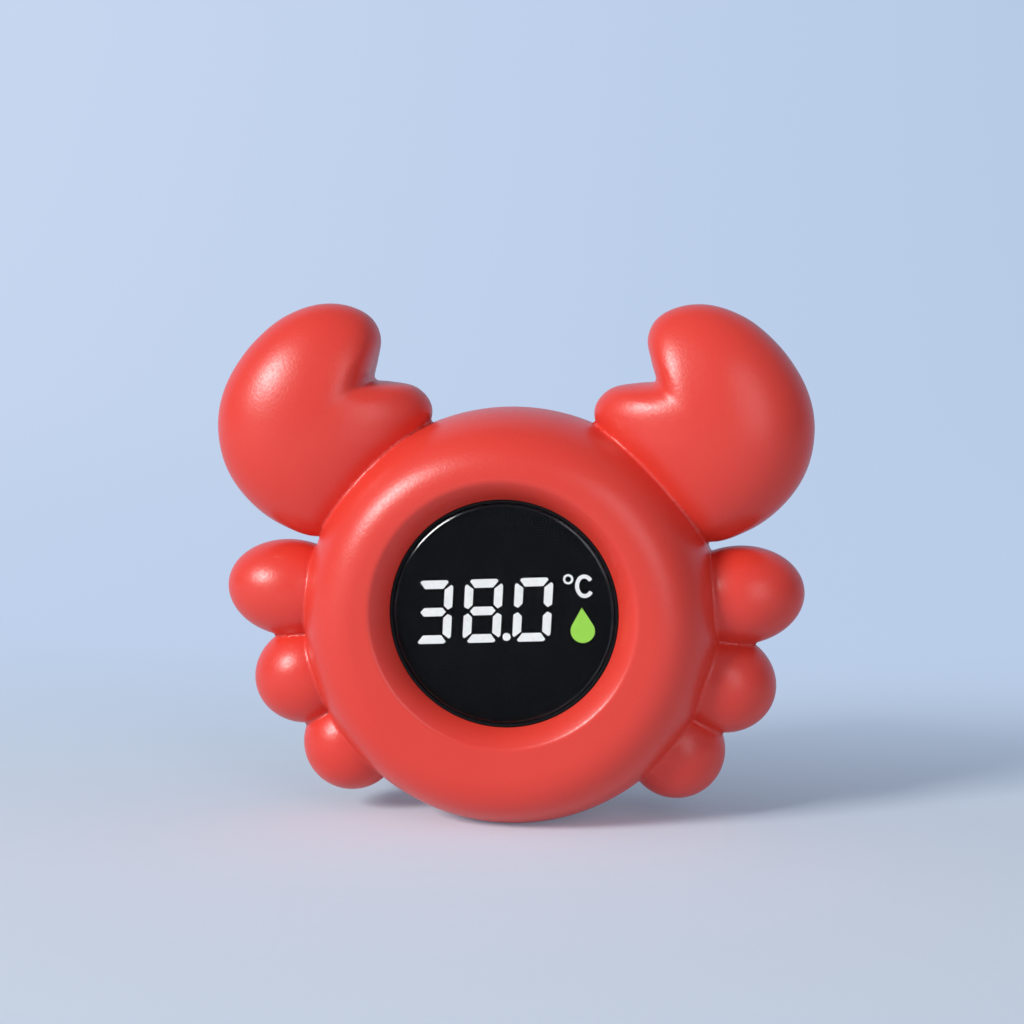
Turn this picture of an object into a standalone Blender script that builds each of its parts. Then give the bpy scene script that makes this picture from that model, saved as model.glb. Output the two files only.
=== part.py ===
"""A crab-shaped baby bath thermometer, made of the pieces it comes apart into on a bench.

Two hollow half shells make a round body with two claws and six legs. The front one carries
the round display, the rear one the coin cell behind its screwed door, the metal probe and the
two pins that feel the water. Sizes are in millimetres and are turned into metres where a mesh
is made. +Z is up, the display faces -Y, and the origin is on the surface that the body stands
on, under its middle. Positions named x and z are measured from the centre of the round body.
"""

import math

import bmesh
import bpy
from mathutils import Matrix, Vector

MM = 0.001

# Round body
BODY_RADIUS = 38.75
BODY_DEPTH = 36.0
SHOULDER = 12.0            # how far in from the outline the front and back become flat
SQUARENESS = 2.2           # exponent of the rounded section: 2 is an ellipse, more is squarer
STANDING_FLAT = 16.0       # width of the flat underneath that it stands on
WALL = 2.0
PARTING_GAP = 0.3          # between the two half shells

# Clearances
SEAT_GAP = 0.3             # between two pieces that lie against each other
FIT_GAP = 0.15             # around a piece that drops into a pocket

# Claws: one outline, as a radius round the middle of the palm at each angle
CLAW_ANGLE = 42.2
CLAW_BEYOND = 12.55        # from the outline of the body to the middle of the palm
CLAW_DEPTH = 25.0
CLAW_OUTLINE = (
    (0, 17.3), (38, 18.0), (60, 19.4), (80, 21.6), (97, 23.4), (110, 24.0), (120, 23.5),
    (128, 21.4), (134, 17.9), (141, 14.9), (149, 17.2), (159, 21.5), (170, 23.2), (182, 21.6),
    (202, 18.2), (222, 17.6), (243, 19.0), (264, 20.3), (286, 18.9), (310, 17.8), (335, 17.4),
)
CLAW_SOFTENING = 40        # degrees over which the notch is blurred towards the palm
CLAW_FADE = 1.8            # how quickly it fades: more keeps it nearer the rim

# Legs: angle round the body, distance of the middle beyond the outline, half length,
# half height and half depth
LEGS = {
    "upper": (5.9, 3.25, 12.2, 9.15, 9.3),
    "middle": (-17.1, 1.85, 10.3, 9.3, 9.0),
    "lower": (-39.0, 0.65, 9.15, 9.15, 8.7),
}

# Display window
WINDOW_RISE = 2.4          # its centre above the centre of the body
RECESS_RADIUS = 24.2
RECESS_DEPTH = 2.9         # of the sloping edge round the window
LENS_RADIUS = 20.1
LENS_THICKNESS = 1.5
LENS_BEVEL = 0.35
LENS_SEAL_WIDTH = 0.3
MASK_THICKNESS = 0.5
LEDGE_WIDTH = 1.2
LEDGE_THICKNESS = 1.3

# Digits and signs
DISPLAY_TURN = 2.5         # the display sits slightly turned in its window
DIGIT_HEIGHT = 11.55
DIGIT_WIDTH = 6.9
DIGIT_PITCH = 9.07
DIGIT_LEAN = 5.5
DIGITS_X = -3.7            # middle digit, from the centre of the window
DIGITS_Z = 0.46
STROKE = 1.53
POINT_RADIUS = 0.72
POINT_LIFT = 0.2           # of the decimal point above the foot of the digits
DEGREE_RADIUS = 0.92
DEGREE_X = 11.8
DEGREE_Z = 5.85
LETTER_X = 14.7
LETTER_Z = 4.5
LETTER_WIDTH = 3.4
LETTER_HEIGHT = 4.25
LETTER_STROKE = 0.7
DEGREE_STROKE = 0.4
DROPLET_X = 14.05
DROPLET_Z = -3.6
DROPLET_RADIUS = 2.18
DROPLET_HEIGHT = 4.2       # from the centre of its round end to its tip
GUIDE_THICKNESS = 0.6
GUIDE_MARGIN = 0.4
REFLECTOR_DEPTH = 5.4
REFLECTOR_WALL = 0.7

# Circuit board
BOARD_CLEARANCE = 1.9      # between its upper edge and the rib of the body's seal
BOARD_THICKNESS = 1.6
BOARD_SCREW_INSET = 1.7    # from the edge of the board to the middle of a screw
BOARD_SCREW_RADIUS = 0.9
BOARD_SCREW_HEAD = 1.8
BOARD_SCREW_LENGTH = 5.6
BOARD_BOSS_RADIUS = 2.4
CHIP_SIZE = 7.0
CHIP_THICKNESS = 1.2

# Seal between the shells
SEAL_RADIUS = 29.3
SEAL_SECTION = 1.3
SEAL_RIB_WIDTH = 3.0

# Screws that hold the shells together
SHELL_SCREW_OFFSET = 33.6
SHELL_SCREW_ANGLES = (45, 135, 225, 315)
SHELL_SCREW_RADIUS = 1.2
SHELL_SCREW_HEAD = 2.3
SHELL_SCREW_LENGTH = 17.0
SHELL_SCREW_SEAT = 7.0     # how far behind the parting plane the heads sit
SHELL_BOSS_WALL = 1.1
SCREW_HEAD_HEIGHT = 1.4
PILOT_SPARE = 1.0          # of a pilot hole past the end of its screw

# Coin cell and its door
DOOR_RISE = 6.0            # centre of the door above the centre of the body
DOOR_RADIUS = 18.0
DOOR_THICKNESS = 2.0
DOOR_EDGE = 0.4            # bevel round the outside of the door
CELL_RADIUS = 10.0
CELL_THICKNESS = 3.2
CELL_RIM = 0.8             # height of the step between the can and the cap of the cell
CUP_WALL = 1.6
CUP_FLOOR = 1.5
CONTACT_SPACE = 1.0        # under the cell, for the spring leaf
CONTACT_THICKNESS = 0.4
CONTACT_WIDTH = 4.0
DOOR_SEAL_SECTION = 1.2
DOOR_SCREW_MARGIN = 0.55   # of the door outside the hole for a screw's head
DOOR_SCREW_FLOOR = 0.5     # of the door under a screw's head
DOOR_SCREW_ANGLES = (90, 210, 330)
DOOR_SCREW_RADIUS = 0.9
DOOR_SCREW_HEAD = 1.9
DOOR_SCREW_LENGTH = 6.5

# Probe and water pins
PROBE_RADIUS = 3.2
PROBE_WALL = 0.5
PROBE_LENGTH = 6.8
PROBE_SUNK = 0.4           # top of the probe below the back of the body
PROBE_FLANGE = 4.6
PROBE_FLANGE_THICKNESS = 0.8
DISH_RADIUS = 5.4
DISH_DEPTH = 1.5
DISH_MARGIN = 1.2          # of the back between the door and the dish round the probe
PROBE_SEAL_SECTION = 1.0
SENSOR_RADIUS = 1.2
LEAD_RADIUS = 0.55
LEAD_CLEARANCE = 1.45      # between its end on the board and the head of the lower screw
PIN_OFFSET = 9.4
PIN_LIFT = 2.0             # of the pins above the centre of the probe
PIN_RADIUS = 1.2
PIN_HEAD = 2.0
PIN_HEAD_HEIGHT = 0.8
PIN_EDGE = 0.3             # bevel round a pin's head

# Fineness of the round surfaces
ROUND_STEPS = 64
MIDDLE_STEPS = 32
SMALL_STEPS = 12
CLAW_STEPS = 36
LEG_STEPS = 16
SECTION_STEPS = 5
INNER_STEPS = 2

HALF_DEPTH = BODY_DEPTH / 2
BODY_HEIGHT = math.sqrt(BODY_RADIUS ** 2 - (STANDING_FLAT / 2) ** 2)
CREST_RADIUS = BODY_RADIUS - SHOULDER
BEYOND = 5.0               # how far a cutter runs past the outside of the body
OVERCUT = 1.0              # how far a cutter runs past a face inside it

LENS_FRONT = -(HALF_DEPTH - RECESS_DEPTH)
MASK_FRONT = LENS_FRONT + LENS_THICKNESS + FIT_GAP
MASK_BACK = MASK_FRONT + MASK_THICKNESS
LEDGE_FRONT = MASK_BACK + FIT_GAP
LEDGE_BACK = LEDGE_FRONT + LEDGE_THICKNESS
LENS_SEAT_RADIUS = LENS_RADIUS + LENS_SEAL_WIDTH + 2 * FIT_GAP
GUIDE_FRONT = MASK_BACK + FIT_GAP
GUIDE_BACK = GUIDE_FRONT + GUIDE_THICKNESS
REFLECTOR_FRONT = GUIDE_BACK + FIT_GAP
REFLECTOR_BACK = REFLECTOR_FRONT + REFLECTOR_DEPTH
BOARD_FRONT = REFLECTOR_BACK + SEAT_GAP
BOARD_BACK = BOARD_FRONT + BOARD_THICKNESS

DOOR_INNER = HALF_DEPTH - DOOR_THICKNESS
DOOR_SEAT = DOOR_INNER - SEAT_GAP
DOOR_SEAT_BACK = DOOR_SEAT - WALL
CELL_BACK = DOOR_SEAT - SEAT_GAP
CELL_FRONT = CELL_BACK - CELL_THICKNESS
CUP_BOTTOM = CELL_FRONT - CONTACT_SPACE
CUP_END = CUP_BOTTOM - CUP_FLOOR
CUP_RADIUS = CELL_RADIUS + SEAT_GAP
DOOR_SCREW_OFFSET = DOOR_RADIUS - DOOR_SCREW_MARGIN - FIT_GAP - DOOR_SCREW_HEAD
DOOR_SEAL_RADIUS = (CUP_RADIUS + DOOR_SCREW_OFFSET - DOOR_SCREW_RADIUS) / 2

# The board fits inside the seal's rib, and the probe and the pins sit just below the door
BOARD_RADIUS = SEAL_RADIUS - SEAL_RIB_WIDTH / 2 - WINDOW_RISE - BOARD_CLEARANCE
BOARD_SCREW_OFFSET = BOARD_RADIUS - BOARD_SCREW_INSET
LEAD_END = WINDOW_RISE - BOARD_SCREW_OFFSET + BOARD_SCREW_HEAD + LEAD_CLEARANCE + LEAD_RADIUS
PROBE_DROP = DOOR_RADIUS - DOOR_RISE + DISH_MARGIN + DISH_RADIUS
PIN_DROP = PROBE_DROP - PIN_LIFT
PROBE_TOP = HALF_DEPTH - PROBE_SUNK
PROBE_END = PROBE_TOP - PROBE_LENGTH


def metres(x, y, z):
    """A point given from the centre of the body, in metres above the surface it stands on."""
    return Vector((x, y, z + BODY_HEIGHT)) * MM


def around(angle, distance, centre=(0.0, 0.0)):
    """The x and z of a point at an angle in degrees round a centre."""
    turn = math.radians(angle)
    return (centre[0] + distance * math.cos(turn), centre[1] + distance * math.sin(turn))


def new_object(name, bm, material=None):
    """Closes a bmesh into an object. One without a material is a cutter or a guide."""
    bmesh.ops.remove_doubles(bm, verts=bm.verts, dist=1e-7)
    bmesh.ops.recalc_face_normals(bm, faces=bm.faces)
    mesh = bpy.data.meshes.new(name)
    bm.to_mesh(mesh)
    bm.free()
    mesh.shade_smooth()
    mesh.set_sharp_from_angle(angle=math.radians(35))
    made = bpy.data.objects.new(name, mesh)
    bpy.context.scene.collection.objects.link(made)
    if material:
        mesh.materials.append(material)
    else:
        made.hide_render = True
        made.display_type = "WIRE"
    return made


def combine(target, operation, *others, solver="EXACT"):
    """Adds a Boolean for each of the other objects: UNION, DIFFERENCE or INTERSECT."""
    for other in others:
        boolean = target.modifiers.new(other.name, "BOOLEAN")
        boolean.operation = operation
        boolean.solver = solver
        boolean.object = other
    return target


def carve(target, operation, *others):
    """The same for the shells, whose rounded walls meet at angles that EXACT leaves open."""
    return combine(target, operation, *others, solver="MANIFOLD")


def welded(target):
    """Merges the points that the Booleans leave closer together than a few micrometres."""
    weld = target.modifiers.new("weld", "WELD")
    weld.merge_threshold = 0.004 * MM
    return target


def lathe(name, profile, centre=(0.0, 0.0), steps=ROUND_STEPS, material=None, ring=False):
    """Turns a profile of (radius, y) points round an axis along Y; a ring's profile is closed."""
    bm = bmesh.new()
    verts = [bm.verts.new(metres(centre[0] + radius, y, centre[1])) for radius, y in profile]
    edges = [bm.edges.new(pair) for pair in zip(verts, verts[1:])]
    if ring:
        edges.append(bm.edges.new((verts[-1], verts[0])))
    bmesh.ops.spin(bm, geom=verts + edges, cent=metres(centre[0], 0, centre[1]), axis=(0, 1, 0),
                   dvec=(0, 0, 0), angle=math.tau, steps=steps, use_merge=True)
    return new_object(name, bm, material)


def rod(name, radius, low, high, centre, steps=SMALL_STEPS, material=None):
    """A plain round bar along Y."""
    return lathe(name, [(0, low), (radius, low), (radius, high), (0, high)], centre, steps,
                 material)


def add_prism(bm, outline, low, high):
    """Adds to a bmesh an outline of (x, z) points drawn out along Y."""
    face = bm.faces.new([bm.verts.new(metres(x, low, z)) for x, z in outline])
    drawn = bmesh.ops.extrude_face_region(bm, geom=[face])["geom"]
    verts = [item for item in drawn if isinstance(item, bmesh.types.BMVert)]
    bmesh.ops.translate(bm, vec=Vector((0, high - low, 0)) * MM, verts=verts)


def prism(name, outlines, low, high, material=None):
    """One or more outlines drawn out along Y."""
    bm = bmesh.new()
    for outline in outlines:
        add_prism(bm, outline, low, high)
    return new_object(name, bm, material)


def side_prism(name, outline, low, high, centre, material=None):
    """An outline of (x, y) points drawn out along Z, from low to high about a centre."""
    bm = bmesh.new()
    points = [metres(centre[0] + x, y, centre[1] + low) for x, y in outline]
    face = bm.faces.new([bm.verts.new(point) for point in points])
    drawn = bmesh.ops.extrude_face_region(bm, geom=[face])["geom"]
    verts = [item for item in drawn if isinstance(item, bmesh.types.BMVert)]
    bmesh.ops.translate(bm, vec=Vector((0, 0, high - low)) * MM, verts=verts)
    return new_object(name, bm, material)


def box(name, low, high, material=None):
    """A block between two corners."""
    rectangle = [(low[0], low[2]), (high[0], low[2]), (high[0], high[2]), (low[0], high[2])]
    return prism(name, [rectangle], low[1], high[1], material)


def rounded(turn, across, deep, squareness=SQUARENESS):
    """A point on a rounded section: turn runs from 0 at its rim to 90 degrees at its crest."""
    angle = math.radians(turn)
    power = 2 / squareness
    return (across * math.cos(angle) ** power if turn < 90 else 0.0,
            deep * math.sin(angle) ** power if turn > 0 else 0.0)


def section(inset, steps):
    """Outline of the round body from its front axis to its back axis, set in by a wall."""
    turns = [90 * step / steps for step in range(steps + 1)]
    quarter = [rounded(turn, SHOULDER - inset, HALF_DEPTH - inset) for turn in turns]
    front = [(CREST_RADIUS + across, -deep) for across, deep in reversed(quarter)]
    back = [(CREST_RADIUS + across, deep) for across, deep in quarter[1:]]
    return [(0, -(HALF_DEPTH - inset))] + front + back + [(0, HALF_DEPTH - inset)]


def claw_radius(angle):
    """Radius of the claw's outline at an angle, on a smooth curve through CLAW_OUTLINE."""
    count = len(CLAW_OUTLINE)
    angle = angle % 360
    index = max(k for k in range(count) if CLAW_OUTLINE[k][0] <= angle)
    knots = []
    for k in range(index - 1, index + 3):
        place, radius = CLAW_OUTLINE[k % count]
        knots.append((place + 360 * (k // count), radius))
    (a0, r0), (a1, r1), (a2, r2), (a3, r3) = knots
    share = (angle - a1) / (a2 - a1)
    slope1 = (r2 - r0) / (a2 - a0) * (a2 - a1)
    slope2 = (r3 - r1) / (a3 - a1) * (a2 - a1)
    square, cube = share ** 2, share ** 3
    return ((2 * cube - 3 * square + 1) * r1 + (cube - 2 * square + share) * slope1
            + (3 * square - 2 * cube) * r2 + (cube - square) * slope2)


def claw_softened(angle):
    """The same outline with its notch blurred away, for the claw's rounded middle."""
    samples = [claw_radius(angle + CLAW_SOFTENING * k / 4) for k in range(-4, 5)]
    return sum(samples) / len(samples)


def claw_form(name, side, inset, steps, sections):
    """A claw as a balloon on its outline, for the right (side 1) or the left (side -1)."""
    palm = around(CLAW_ANGLE, BODY_RADIUS + CLAW_BEYOND)
    bm = bmesh.new()
    rows = []
    for level in range(-sections + 1, sections):
        share, deep = rounded(90 * abs(level) / sections, 1.0, CLAW_DEPTH / 2 - inset)
        row = []
        for step in range(steps):
            angle = 360 * step / steps
            soft = claw_softened(angle)
            radius = soft + (claw_radius(angle) - soft) * share ** CLAW_FADE - inset
            x, z = around(angle, radius * share, palm)
            row.append(bm.verts.new(metres(side * x, math.copysign(deep, level), z)))
        rows.append(row)
    for row, following in zip(rows, rows[1:]):
        for step in range(steps):
            ahead = (step + 1) % steps
            bm.faces.new((row[step], row[ahead], following[ahead], following[step]))
    for row, sign in ((rows[0], -1), (rows[-1], 1)):
        crest = bm.verts.new(metres(side * palm[0], sign * (CLAW_DEPTH / 2 - inset), palm[1]))
        for step in range(steps):
            bm.faces.new((row[step], row[(step + 1) % steps], crest))
    return new_object(name, bm)


def leg_form(name, side, leg, inset, steps, sections):
    """A leg as an ellipsoid that points out of the body."""
    angle, beyond, half_length, half_height, half_depth = LEGS[leg]
    x, z = around(angle, BODY_RADIUS + beyond)
    turn = Matrix.Rotation(-math.radians(angle), 4, "Y")
    if side < 0:
        turn = Matrix.Rotation(math.radians(angle), 4, "Y")
    stretch = Matrix.Diagonal((half_length - inset, half_depth - inset, half_height - inset, 1))
    upright = Matrix.Rotation(math.pi / 2, 4, "X")
    place = Matrix.Translation(metres(side * x, 0, z))
    bm = bmesh.new()
    bmesh.ops.create_uvsphere(bm, u_segments=steps, v_segments=2 * sections, radius=1,
                              matrix=place @ turn @ Matrix.Scale(MM, 4) @ stretch @ upright)
    return new_object(name, bm)


def whole_form(name, inset, body_steps, claw_steps, leg_steps, sections):
    """The body with its claws and legs as one form, set in by a wall for the hollow inside."""
    form = lathe(name, section(inset, sections), steps=body_steps)
    for side, word in ((1, "right"), (-1, "left")):
        claw = claw_form(f"{name}_{word}_claw", side, inset, claw_steps, sections)
        carve(form, "UNION", claw)
        for leg in LEGS:
            limb = leg_form(f"{name}_{word}_{leg}_leg", side, leg, inset, leg_steps, sections)
            carve(form, "UNION", limb)
    return form


def principled(name, colour, roughness, metallic=0.0, alpha=1.0):
    """A material with a Principled surface; the colour is linear red, green and blue."""
    made = bpy.data.materials.new(name)
    made.use_nodes = True
    surface = made.node_tree.nodes["Principled BSDF"]
    surface.inputs["Base Color"].default_value = (*colour, 1.0)
    surface.inputs["Roughness"].default_value = roughness
    surface.inputs["Metallic"].default_value = metallic
    surface.inputs["Alpha"].default_value = alpha
    return made


def make_materials():
    """The finishes of all the pieces."""
    return {
        "shell": principled("coral_red_plastic", (0.74, 0.065, 0.05), 0.42),
        "lens": principled("clear_lens_plastic", (0.8, 0.8, 0.82), 0.06, alpha=0.35),
        "mask": principled("black_mask_film", (0.006, 0.006, 0.007), 0.4),
        "digits": principled("white_light_guide", (0.9, 0.9, 0.9), 0.5),
        "droplet": principled("green_light_guide", (0.36, 0.68, 0.1), 0.5),
        "reflector": principled("white_reflector_plastic", (0.8, 0.8, 0.78), 0.5),
        "rubber": principled("black_seal_rubber", (0.02, 0.02, 0.022), 0.7),
        "board": principled("green_board", (0.02, 0.15, 0.05), 0.5),
        "chip": principled("chip_resin", (0.015, 0.015, 0.015), 0.5),
        "steel": principled("stainless_steel", (0.62, 0.61, 0.6), 0.3, 1.0),
        "nickel": principled("nickel_plate", (0.66, 0.63, 0.58), 0.25, 1.0),
        "bead": principled("sensor_resin", (0.06, 0.02, 0.01), 0.35),
        "lead": principled("lead_insulation", (0.7, 0.7, 0.68), 0.5),
    }


def window_centre():
    return (0.0, WINDOW_RISE)


def door_centre():
    return (0.0, DOOR_RISE)


def probe_centre():
    return (0.0, -PROBE_DROP)


def board_screw_places():
    return {"upper": (0.0, WINDOW_RISE + BOARD_SCREW_OFFSET),
            "lower": (0.0, WINDOW_RISE - BOARD_SCREW_OFFSET)}


def pin_places():
    return {"right": (PIN_OFFSET, -PIN_DROP), "left": (-PIN_OFFSET, -PIN_DROP)}


def seal_rib(name):
    """The round wall inside both shells that the seal lies between."""
    inner = SEAL_RADIUS - SEAL_RIB_WIDTH / 2
    outer = SEAL_RADIUS + SEAL_RIB_WIDTH / 2
    reach = HALF_DEPTH + BEYOND
    return lathe(name, [(inner, -reach), (outer, -reach), (outer, reach), (inner, reach)],
                 steps=MIDDLE_STEPS, ring=True)


def make_forms():
    """The outer form, and the hollow with the walls and bosses of each half left standing."""
    outer = whole_form("outer_form", 0.0, ROUND_STEPS, CLAW_STEPS, LEG_STEPS, SECTION_STEPS)
    reach = BODY_RADIUS + CLAW_BEYOND + 2 * CLAW_OUTLINE[0][1]
    ground = box("ground", (-reach, -BODY_DEPTH, -BODY_HEIGHT - BEYOND),
                 (reach, BODY_DEPTH, -BODY_HEIGHT))
    carve(outer, "DIFFERENCE", ground)

    rib = seal_rib("seal_rib")
    hollows = []
    for half in ("front", "rear"):
        hollow = whole_form(f"{half}_hollow", WALL, MIDDLE_STEPS, CLAW_STEPS * 2 // 3,
                            LEG_STEPS * 3 // 4, INNER_STEPS)
        carve(hollow, "DIFFERENCE", rib)
        hollows.append(hollow)
    front, rear = hollows

    reach = HALF_DEPTH + BEYOND
    for number, angle in enumerate(SHELL_SCREW_ANGLES, 1):
        place = around(angle, SHELL_SCREW_OFFSET)
        thin = SHELL_SCREW_RADIUS + FIT_GAP + SHELL_BOSS_WALL
        thick = SHELL_SCREW_HEAD + SEAT_GAP + SHELL_BOSS_WALL
        carve(front, "DIFFERENCE", rod(f"front_boss_{number}", thin, -reach, OVERCUT, place))
        carve(rear, "DIFFERENCE", rod(f"rear_boss_{number}", thick, -OVERCUT, reach, place))

    # The wall round the window follows the sloping edge of its recess and the ledge behind it
    flange = RECESS_RADIUS + WALL
    collar = LENS_SEAT_RADIUS + WALL
    seat = lathe("window_seat", [(0, -reach), (flange, -reach), (flange, -HALF_DEPTH + WALL),
                                 (collar, LENS_FRONT + WALL), (collar, LEDGE_BACK),
                                 (0, LEDGE_BACK)], window_centre(), MIDDLE_STEPS)
    carve(front, "DIFFERENCE", seat)
    for word, place in board_screw_places().items():
        boss = rod(f"board_boss_{word}", BOARD_BOSS_RADIUS, -reach, BOARD_FRONT - SEAT_GAP, place)
        carve(front, "DIFFERENCE", boss)

    # The rear wall is thicker under the door, and holds the cup of the coin cell
    door_seat = rod("door_seat", DOOR_RADIUS + FIT_GAP + WALL, DOOR_SEAT_BACK, reach,
                    door_centre(), MIDDLE_STEPS)
    cup = rod("cell_cup", CUP_RADIUS + CUP_WALL, CUP_END, reach, door_centre(), MIDDLE_STEPS)
    carve(rear, "DIFFERENCE", door_seat, cup)
    for number, angle in enumerate(DOOR_SCREW_ANGLES, 1):
        place = around(angle, DOOR_SCREW_OFFSET, door_centre())
        boss = rod(f"door_boss_{number}", DOOR_SCREW_RADIUS + FIT_GAP + SHELL_BOSS_WALL,
                   DOOR_SEAT - DOOR_SCREW_LENGTH, reach, place)
        carve(rear, "DIFFERENCE", boss)
    probe_boss = rod("probe_boss", DISH_RADIUS + SHELL_BOSS_WALL, PROBE_END, reach,
                     probe_centre(), 24)
    carve(rear, "DIFFERENCE", probe_boss)
    for word, place in pin_places().items():
        boss = rod(f"pin_boss_{word}", PIN_HEAD + SHELL_BOSS_WALL, PROBE_END, reach, place)
        carve(rear, "DIFFERENCE", boss)
    return outer, front, rear


def make_front_shell(finish, outer, hollow):
    """The front half: a round recess with a ledge for the lens, and bosses inside."""
    reach = 2 * (BODY_RADIUS + CLAW_OUTLINE[0][1] * 3)
    shell = box("front_shell", (-reach, -HALF_DEPTH - BEYOND, -reach),
                (reach, -PARTING_GAP / 2, reach), finish["shell"])
    carve(shell, "INTERSECT", outer)
    carve(shell, "DIFFERENCE", hollow)
    slope_foot = LENS_SEAT_RADIUS
    flare = RECESS_RADIUS + OVERCUT * (RECESS_RADIUS - slope_foot) / RECESS_DEPTH
    hole = LENS_RADIUS - LEDGE_WIDTH
    window = lathe("window_cut", [(0, -HALF_DEPTH - OVERCUT), (flare, -HALF_DEPTH - OVERCUT),
                                  (slope_foot, LENS_FRONT), (slope_foot, LEDGE_FRONT),
                                  (hole, LEDGE_FRONT), (hole, LEDGE_BACK + OVERCUT),
                                  (0, LEDGE_BACK + OVERCUT)], window_centre())
    carve(shell, "DIFFERENCE", window)
    for number, angle in enumerate(SHELL_SCREW_ANGLES, 1):
        depth = SHELL_SCREW_LENGTH - SHELL_SCREW_SEAT + PILOT_SPARE
        pilot = rod(f"front_pilot_{number}", SHELL_SCREW_RADIUS + FIT_GAP, -depth, OVERCUT,
                    around(angle, SHELL_SCREW_OFFSET))
        carve(shell, "DIFFERENCE", pilot)
    for word, place in board_screw_places().items():
        pilot = rod(f"board_pilot_{word}", BOARD_SCREW_RADIUS + FIT_GAP,
                    BOARD_BACK - BOARD_SCREW_LENGTH - FIT_GAP, BOARD_FRONT, place)
        carve(shell, "DIFFERENCE", pilot)
    return welded(shell)


def make_rear_shell(finish, outer, hollow):
    """The rear half: the seal's groove, the door's seat and cup, and the holes in the back."""
    reach = 2 * (BODY_RADIUS + CLAW_OUTLINE[0][1] * 3)
    shell = box("rear_shell", (-reach, PARTING_GAP / 2, -reach),
                (reach, HALF_DEPTH + BEYOND, reach), finish["shell"])
    carve(shell, "INTERSECT", outer)
    carve(shell, "DIFFERENCE", hollow)
    half = SEAL_SECTION / 2 + FIT_GAP
    depth = SEAL_SECTION + PARTING_GAP / 2
    inner, outer = SEAL_RADIUS - half, SEAL_RADIUS + half
    groove = lathe("seal_groove", [(inner, -OVERCUT), (outer, -OVERCUT), (outer, depth),
                                   (inner, depth)], steps=MIDDLE_STEPS, ring=True)
    out = HALF_DEPTH + BEYOND
    door_pocket = rod("door_pocket", DOOR_RADIUS + FIT_GAP, DOOR_SEAT, out, door_centre(),
                      MIDDLE_STEPS)
    cup_bore = rod("cup_bore", CUP_RADIUS, CUP_BOTTOM, out, door_centre(), MIDDLE_STEPS)
    half = DOOR_SEAL_SECTION / 2 + FIT_GAP
    depth = DOOR_SEAT - DOOR_SEAL_SECTION + FIT_GAP
    door_groove = lathe("door_groove",
                        [(DOOR_SEAL_RADIUS - half, depth), (DOOR_SEAL_RADIUS + half, depth),
                         (DOOR_SEAL_RADIUS + half, out), (DOOR_SEAL_RADIUS - half, out)],
                        door_centre(), MIDDLE_STEPS, ring=True)
    carve(shell, "DIFFERENCE", groove, door_pocket, cup_bore, door_groove)
    carve(shell, "DIFFERENCE", *contact_slots())
    for number, angle in enumerate(SHELL_SCREW_ANGLES, 1):
        shank = SHELL_SCREW_RADIUS + FIT_GAP
        head = SHELL_SCREW_HEAD + SEAT_GAP
        hole = lathe(f"shell_hole_{number}",
                     [(0, -OVERCUT), (shank, -OVERCUT), (shank, SHELL_SCREW_SEAT),
                      (head, SHELL_SCREW_SEAT), (head, out), (0, out)],
                     around(angle, SHELL_SCREW_OFFSET), SMALL_STEPS)
        carve(shell, "DIFFERENCE", hole)
    for number, angle in enumerate(DOOR_SCREW_ANGLES, 1):
        pilot = rod(f"door_pilot_{number}", DOOR_SCREW_RADIUS + FIT_GAP,
                    DOOR_SEAT - DOOR_SCREW_LENGTH + PILOT_SPARE, out,
                    around(angle, DOOR_SCREW_OFFSET, door_centre()))
        carve(shell, "DIFFERENCE", pilot)
    bore = PROBE_RADIUS + FIT_GAP
    counterbore = PROBE_RADIUS + PROBE_SEAL_SECTION + 2 * FIT_GAP
    seal_end = PROBE_END + PROBE_SEAL_SECTION + 2 * FIT_GAP
    dish_floor = HALF_DEPTH - DISH_DEPTH
    dish_rise = (DISH_RADIUS - bore) / 2
    start = PROBE_END - OVERCUT
    probe_hole = lathe("probe_hole",
                       [(0, start), (counterbore, start), (counterbore, seal_end),
                        (bore, seal_end), (bore, dish_floor), (bore + dish_rise, dish_floor),
                        (DISH_RADIUS, HALF_DEPTH), (DISH_RADIUS, out), (0, out)],
                       probe_centre(), 24)
    carve(shell, "DIFFERENCE", probe_hole)
    for word, place in pin_places().items():
        shank = PIN_RADIUS + FIT_GAP
        head = PIN_HEAD + FIT_GAP
        seat = HALF_DEPTH - PIN_HEAD_HEIGHT - FIT_GAP
        hole = lathe(f"pin_hole_{word}", [(0, start), (shank, start), (shank, seat),
                                          (head, seat), (head, out), (0, out)],
                     place, SMALL_STEPS)
        carve(shell, "DIFFERENCE", hole)
    return welded(shell)


def plus_contact_span():
    """Where the side contact runs, as its inner and outer x from the middle of the cell."""
    inner = CELL_RADIUS + FIT_GAP
    return inner, inner + CONTACT_THICKNESS


def minus_leg_span():
    """Where the leg of the spring leaf goes down, as its two x from the middle of the cell."""
    outer = -(CELL_RADIUS * 0.65)
    return outer, outer + CONTACT_THICKNESS


def contact_slots():
    """Slots through the cup for the two contacts."""
    x, z = door_centre()
    half = CONTACT_WIDTH / 2 + FIT_GAP
    slots = []
    for word, span, top in (("plus", plus_contact_span(), CELL_BACK),
                            ("minus", minus_leg_span(), CUP_BOTTOM + 0.5)):
        low = (x + span[0] - FIT_GAP, CUP_END - OVERCUT, z - half)
        high = (x + span[1] + FIT_GAP, top, z + half)
        slots.append(box(f"{word}_slot", low, high))
    return slots


def make_seal_ring(name, radius, section_size, middle, centre, material, steps):
    """An O-ring of round section lying across Y."""
    points = [around(60 * k, section_size / 2) for k in range(6)]
    profile = [(radius + across, middle + deep) for across, deep in points]
    return lathe(name, profile, centre, steps, material, ring=True)


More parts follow.
